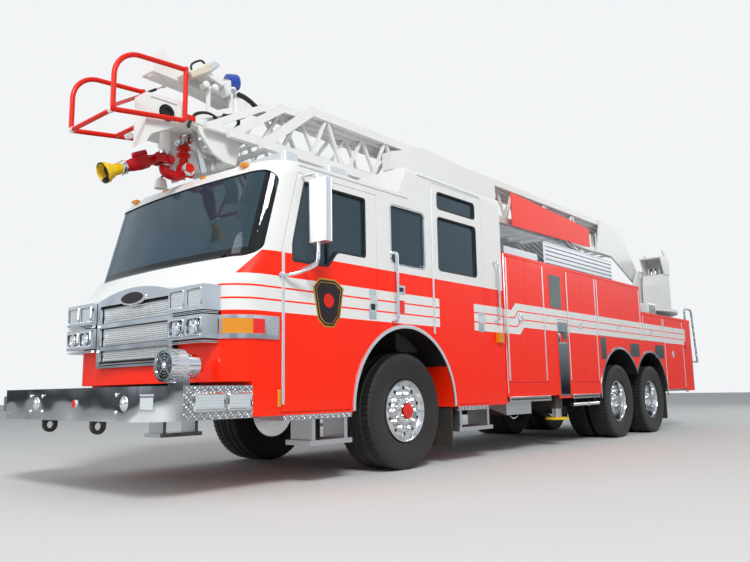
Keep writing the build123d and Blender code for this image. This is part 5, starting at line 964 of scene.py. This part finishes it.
# Body sides: rub rails, outrigger panel trim, air tube, vent box and steps' edges
mesh = bmesh.new()
for _, sign in SIDES:
    y = sign * HALF_WIDTH
    for front, rear, low, high in (
        (-1.84, -2.85, 0.598, 0.66), (-3.48, -4.33, 0.61, 0.665), (-7.16, -8.16, 0.662, 0.690),
    ):
        add_plate(mesh, rectangle(front, low, rear, high, 0.004), y - sign * 0.01, y + sign * 0.022, 0, 0.003)
        # Painted shade: a dark strip along the middle of the rail stands in for the shade in its slot
        front, rear, drop = front - 0.02, rear + 0.02, (high - low) * 0.35
        slot = [(front, low + drop), (rear, low + drop), (rear, high - drop), (front, high - drop)]
        add_plate(mesh, slot, y + sign * 0.02, y + sign * 0.0235, 1, 0.0005)
    add_tube(mesh, trail((-3.57, sign * 1.2, 0.530), (-4.40, sign * 1.2, 0.530)), 0.028, 0, 16)
    add_turned(mesh, at(-4.075, sign * 1.2, 0.530), AHEAD, sleeve(30, 28, 36), 0, 24)
    for x in (-3.66, -4.30):
        add_block(mesh, (x - 0.012, sign * 1.19, 0.530), (x + 0.012, sign * 1.21, 0.640), 1, 0.003)
    # Bright corner strips down the ends of the body
    for x, top in ((-1.842, 2.36), (-8.608, 1.95)):
        add_block(mesh, (x - 0.011, sign * 1.236, 0.70), (x + 0.011, sign * 1.2535, top), 0, 0.002)
add_block(mesh, (-7.04, 1.02, 1.970), (-6.66, 1.20, 2.165), 2, 0.012)
add_slats(mesh, (-7.01, 1.199, 1.995), (-6.69, 1.204, 2.003), 0.021, 7, 1, 0.001)
piece("rub_rails", mesh, "chassis", "polished_steel", polished_aluminium, black_enamel, white_enamel)
for side, sign in SIDES:
    y = sign * HALF_WIDTH
    mesh = bmesh.new()
    add_plate(mesh, rectangle(-3.165, 0.645, -3.44, 1.62, 0.01), y, y + sign * 0.0045)
    add_plate(mesh, rectangle(-3.19, 1.335, -3.41, 1.47, 0.02), y, y + sign * 0.018, 1, 0.006)
    lamp = rectangle(-3.205, 1.35, -3.395, 1.455, 0.015)
    add_plate(mesh, lamp, y + sign * 0.012, y + sign * 0.026, 2, 0.006)
    finishes = (mirror_glass, polished_steel, red_lens)
    piece(f"outrigger_trim_{side}", mesh, f"outrigger_{side}", "polished_steel", *finishes)

# Locker latches: a bright dish with its dark hollow and D-shaped handle
LATCHES = (("a", -2.2, 1.6), ("b", -3.86, 1.6), ("c", -5.2, 1.64), ("d", -6.59, 1.64), ("e", -7.573, 1.305))
DISH = ((-12, 52), (0, 60), (4, 59), (5, 52), (2, 48), (-10, 46), (-12, 0))
HANDLE = ((-0.03, -0.02), (-0.024, 0.022), (0, 0.034), (0.024, 0.022), (0.03, -0.02))
for letter, x, z in LATCHES:
    for side, sign in SIDES:
        mesh = bmesh.new()
        spot = at(x, sign * HALF_WIDTH, z)
        add_turned(mesh, spot, LEFTWARD * sign, DISH)
        loop = [spot + Vector((u, sign * 0.001, v)) for u, v in HANDLE]
        add_tube(mesh, loop, 0.0055, 1, 10)
        add_tube(mesh, (loop[0], loop[-1]), 0.0065, 1, 10)
        finishes = (polished_steel, bright_strip)
        piece(f"latch_{letter}_{side}", mesh, f"locker_door_{letter}_{side}", "polished_steel", *finishes)

# Tip of the ladder: lamps, junction box, hoses, valves, strut, collars and the waterway's bend
mesh = bmesh.new()
# Lamp head with its lens, the handle over it, and the lamp arm's boxes
add_plate(mesh, [(2.032, 3.624), (1.827, 3.777), (1.781, 3.709), (1.989, 3.577)], 0.20, 0.42, 7, 0.012)
add_plate(mesh, [(1.827, 3.777), (1.745, 3.835), (1.688, 3.805), (1.781, 3.709)], 0.215, 0.405, 3, 0.012)
handle = trail((1.96, 0.33, 3.69), (1.956, 0.33, 3.746), (1.866, 0.33, 3.812), (1.817, 0.33, 3.80))
add_tube(mesh, handle, 0.010)
for x, z in ((1.817, 3.586), (1.712, 3.59)):
    add_turned(mesh, at(x, 0.30, z), LEFTWARD, [(0, 34), (70, 34), (78, 24), (80, 0)], 1, 24)
box = [(1.651, 3.689), (1.536, 3.727), (1.539, 3.566), (1.579, 3.544)]
add_plate(mesh, rounded(box, 0.01), 0.27, 0.38, 1, 0.012)
add_plate(mesh, rectangle(1.378, 3.545, 1.507, 3.372, 0.012), 0.30, 0.40, 1, 0.012)
beacon = [(0, 70), (10, 80), (30, 82), (105, 80), (120, 70), (126, 45), (128, 0)]
add_turned(mesh, at(1.545, 0.300, 3.712), (-0.9, 0.25, 0.2), beacon, 4, 36)
# Corrugated conduit from the side box down onto the handrail, held in a clamp
conduit = trail(
    (1.44, 0.35, 3.610), (1.36, 0.345, 3.606), (1.28, 0.335, 3.590), (1.20, 0.322, 3.566),
    (1.12, 0.3135, 3.560), (1.03, 0.3135, 3.560),
)
add_tube(mesh, conduit, 0.026, 0, 14, 0.018)
add_block(mesh, (0.96, 0.285, 3.534), (1.04, 0.342, 3.592), 1, 0.008)
HOSE = (
    (1.978, 3.138), (1.953, 3.22), (1.897, 3.283), (1.8, 3.321), (1.711, 3.318), (1.655, 3.286),
    (1.62, 3.237), (1.596, 3.195), (1.516, 3.217), (1.435, 3.288), (1.418, 3.353), (1.495, 3.371),
    (1.611, 3.357),
)
add_tube(mesh, [at(x, 0.33, z) for x, z in HOSE], 0.017)
# Valves with their levers
VALVE = ((0, 30), (50, 30), (55, 22), (75, 22), (80, 30), (95, 30), (100, 0))
for x, z in ((1.883, 3.09), (1.831, 3.171), (1.764, 3.131), (1.935, 3.057)):
    add_turned(mesh, at(x, 0.045, z), LEFTWARD, VALVE, 5, 20)
    add_tube(mesh, trail((x, 0.14, z), (x, 0.14, z - 0.06)), 0.006, 0, 8)
BRACKETS = (
    ((1.884, 3.211), (1.845, 3.205), (1.70, 2.80), (1.766, 2.776)),
    ((1.596, 3.185), (1.555, 3.185), (1.62, 2.833), (1.657, 2.833)),
    ((1.57, 3.185), (1.53, 3.185), (1.372, 3.13), (1.38, 3.09)),
)
for outline in BRACKETS:
    for y in (-0.24, 0.225):
        add_plate(mesh, outline, y, y + 0.014, 5, 0.003)
# Hanging lamp with its arm
lamp_at = at(1.921, -0.180, 2.765)
shade = [(-20, 20), (0, 45), (60, 60), (85, 60), (88, 50), (88, 0)]
add_turned(mesh, lamp_at, -UPWARD, shade, 1, 28)
add_turned(mesh, lamp_at, -UPWARD, [(84, 48), (89.5, 45), (93, 20), (93.5, 0)], 3, 28)
hanger = [lamp_at] + trail((1.90, -0.195, 2.805), (1.84, -0.22, 2.83), (1.76, -0.235, 2.83))
add_tube(mesh, hanger, 0.010, 0, 10)
flange = [(0, 58), (12, 62), (28, 62), (36, 46), (40, 0)]
add_turned(mesh, at(1.80, 0.066, 2.835), LEFTWARD, flange, 5)
# Gas strut from the hoop to the arm, with its rod and end balls
foot, head = trail((2.012, -0.350, 3.650), (2.02, -0.02, 3.615))
add_tube(mesh, (foot, foot.lerp(head, 0.58)), 0.013, 0, 14)
add_tube(mesh, (foot.lerp(head, 0.56), head), 0.006, 6, 10)
for end in (foot, head):
    add_turned(mesh, end - UPWARD * 0.014, UPWARD, [(0, 12), (14, 18), (28, 12)], 6, 16)
# Pale collars on the hoops' cross tubes
for x, y, collar in (
    (2.722, -0.350, (40, 23.5, 26)), (2.722, 0.310, (40, 23.5, 26)), (2.30, -0.15, (60, 21, 28)),
):
    add_turned(mesh, at(x, y, 3.080), LEFTWARD, sleeve(*collar), 1, 24)
finishes = (rubber, white_enamel, yellow_enamel, clear_lens, blue_lens)
finishes += (polished_aluminium, ground_steel, beige_enamel)
piece("tip_gear", mesh, "ladder_fly", "lamp_plastic", *finishes)
mesh = bmesh.new()
bend = trail((1.80, 0, 2.83), (1.86, 0, 2.775), (1.95, 0, 2.775), (2.0, 0, 2.80), (2.0, 0, 2.85))
add_tube(mesh, bend, 0.047, 0, 20)
add_turned(mesh, at(2.0, 0, 2.835), UPWARD, sleeve(14, 45, 62), 1)
piece("waterway_bend", mesh, "ladder_fly", "red_paint", monitor_enamel, polished_aluminium)

# Nozzle: the pilot tube over its barrel, a lugged coupling and two rings, all along its slanted axis
mesh = bmesh.new()
barrel = at(*NOZZLE_PIVOT)
way = Vector((cos(radians(26.5)), 0, -sin(radians(26.5))))
pilot = [(0, 26), (130, 26), (140, 18), (150, 0)]
add_turned(mesh, barrel + way * 0.09 + Vector((0.02, 0, 0.075)), way, pilot, 0, 24)
add_turned(mesh, barrel + way * 0.335, way, sleeve(12, 50, 62), 1)
turn = way.to_track_quat("Z", "Y")
for out in spread(3, turn @ AHEAD, turn @ LEFTWARD):
    spot = barrel + way * 0.36 + out * 0.052
    add_turned(mesh, spot, out, [(0, 10), (20, 9), (24, 0)], 1, 12)
for reach in (0.40, 0.425):
    add_turned(mesh, barrel + way * reach, way, sleeve(10, 45, 52), 2, 40)
piece("nozzle_rings", mesh, "nozzle", "nozzle_yellow", monitor_enamel, polished_aluminium, yellow_enamel)

# Control console: levers with round knobs on its sloping panel
mesh = bmesh.new()
for y in (0.80, 0.875, 0.95, 1.025):
    add_tube(mesh, trail((-8.07, y, 2.84), (-8.085, y, 2.93)), 0.006, 0, 8)
    knob = [(0, 10), (12, 16), (28, 12), (34, 0)]
    add_turned(mesh, at(-8.086, y, 2.925), UPWARD, knob, 1, 16)
piece("console_levers", mesh, "turntable", "dark_trim", ground_steel, rubber)

# Floor and light
floor_mesh = bpy.data.meshes.new("floor")
floor_mesh.from_pydata([(-60, -60, 0), (60, -60, 0), (60, 60, 0), (-60, 60, 0)], [], [(0, 1, 2, 3)])
floor = bpy.data.objects.new("floor", floor_mesh)
bpy.context.collection.objects.link(floor)
made, _, shader, _, _ = new_material("pale_floor")
fill(shader, Base_Color=linear("CFCFCC"), Roughness=0.85)
floor_mesh.materials.append(made)

world = bpy.data.worlds.new("studio")
bpy.context.scene.world = world
world.use_nodes = True
world.node_tree.nodes.clear()
add = partial(add_node, world.node_tree)
toward = add("TexCoord").outputs["Generated"]
height = add("SeparateXYZ", {0: toward}).outputs["Z"]
# Mirrored light: dark at the horizon, bright from ten degrees up, in broad soft patches
ramp = add("MapRange", {0: height, 1: 0.0, 2: 0.11, 3: 0.05, 4: 1.0})
patches = add("TexNoise", {"Vector": toward, "Scale": 3.5, "Detail": 2.0})
patchy = add("MapRange", {0: patches, 1: 0.3, 2: 0.7, 3: 0.6, 4: 1.1})
mirror_light = add("Math", {0: ramp, 1: patchy}, operation="MULTIPLY")
soft = add("Background", {"Color": linear("E6EDF4"), "Strength": 0.52})
shown = add("Background", {"Color": linear("F2F4F6"), "Strength": 1.0})
mirrored = add("Background", {"Color": linear("DCE6F0"), "Strength": mirror_light})
path = add("LightPath").outputs
rays = {0: path["Is Glossy Ray"], 1: path["Is Transmission Ray"]}
glossy = add("Math", rays, operation="MAXIMUM")
first = add("MixShader", {0: glossy, 1: soft, 2: mirrored})
second = add("MixShader", {0: path["Is Camera Ray"], 1: first, 2: shown})
add("OutputWorld", {0: second})

# Soft lamps: name, place, width and power
LAMPS = (
    ("sun_side", (14, 13, 15), 5.0, 3300),
    ("front_fill", (16, -4, 6), 8.0, 500),
    ("rear_fill", (-16, 6, 9), 8.0, 500),
)
for name, place, size, power in LAMPS:
    lamp_data = bpy.data.lights.new(name, "AREA")
    lamp_data.size = size
    lamp_data.energy = power
    lamp = bpy.data.objects.new(name, lamp_data)
    lamp.location = place
    aim = UPWARD * 1.5 - Vector(place)
    lamp.rotation_euler = aim.to_track_quat("-Z", "Y").to_euler()
    bpy.context.collection.objects.link(lamp)
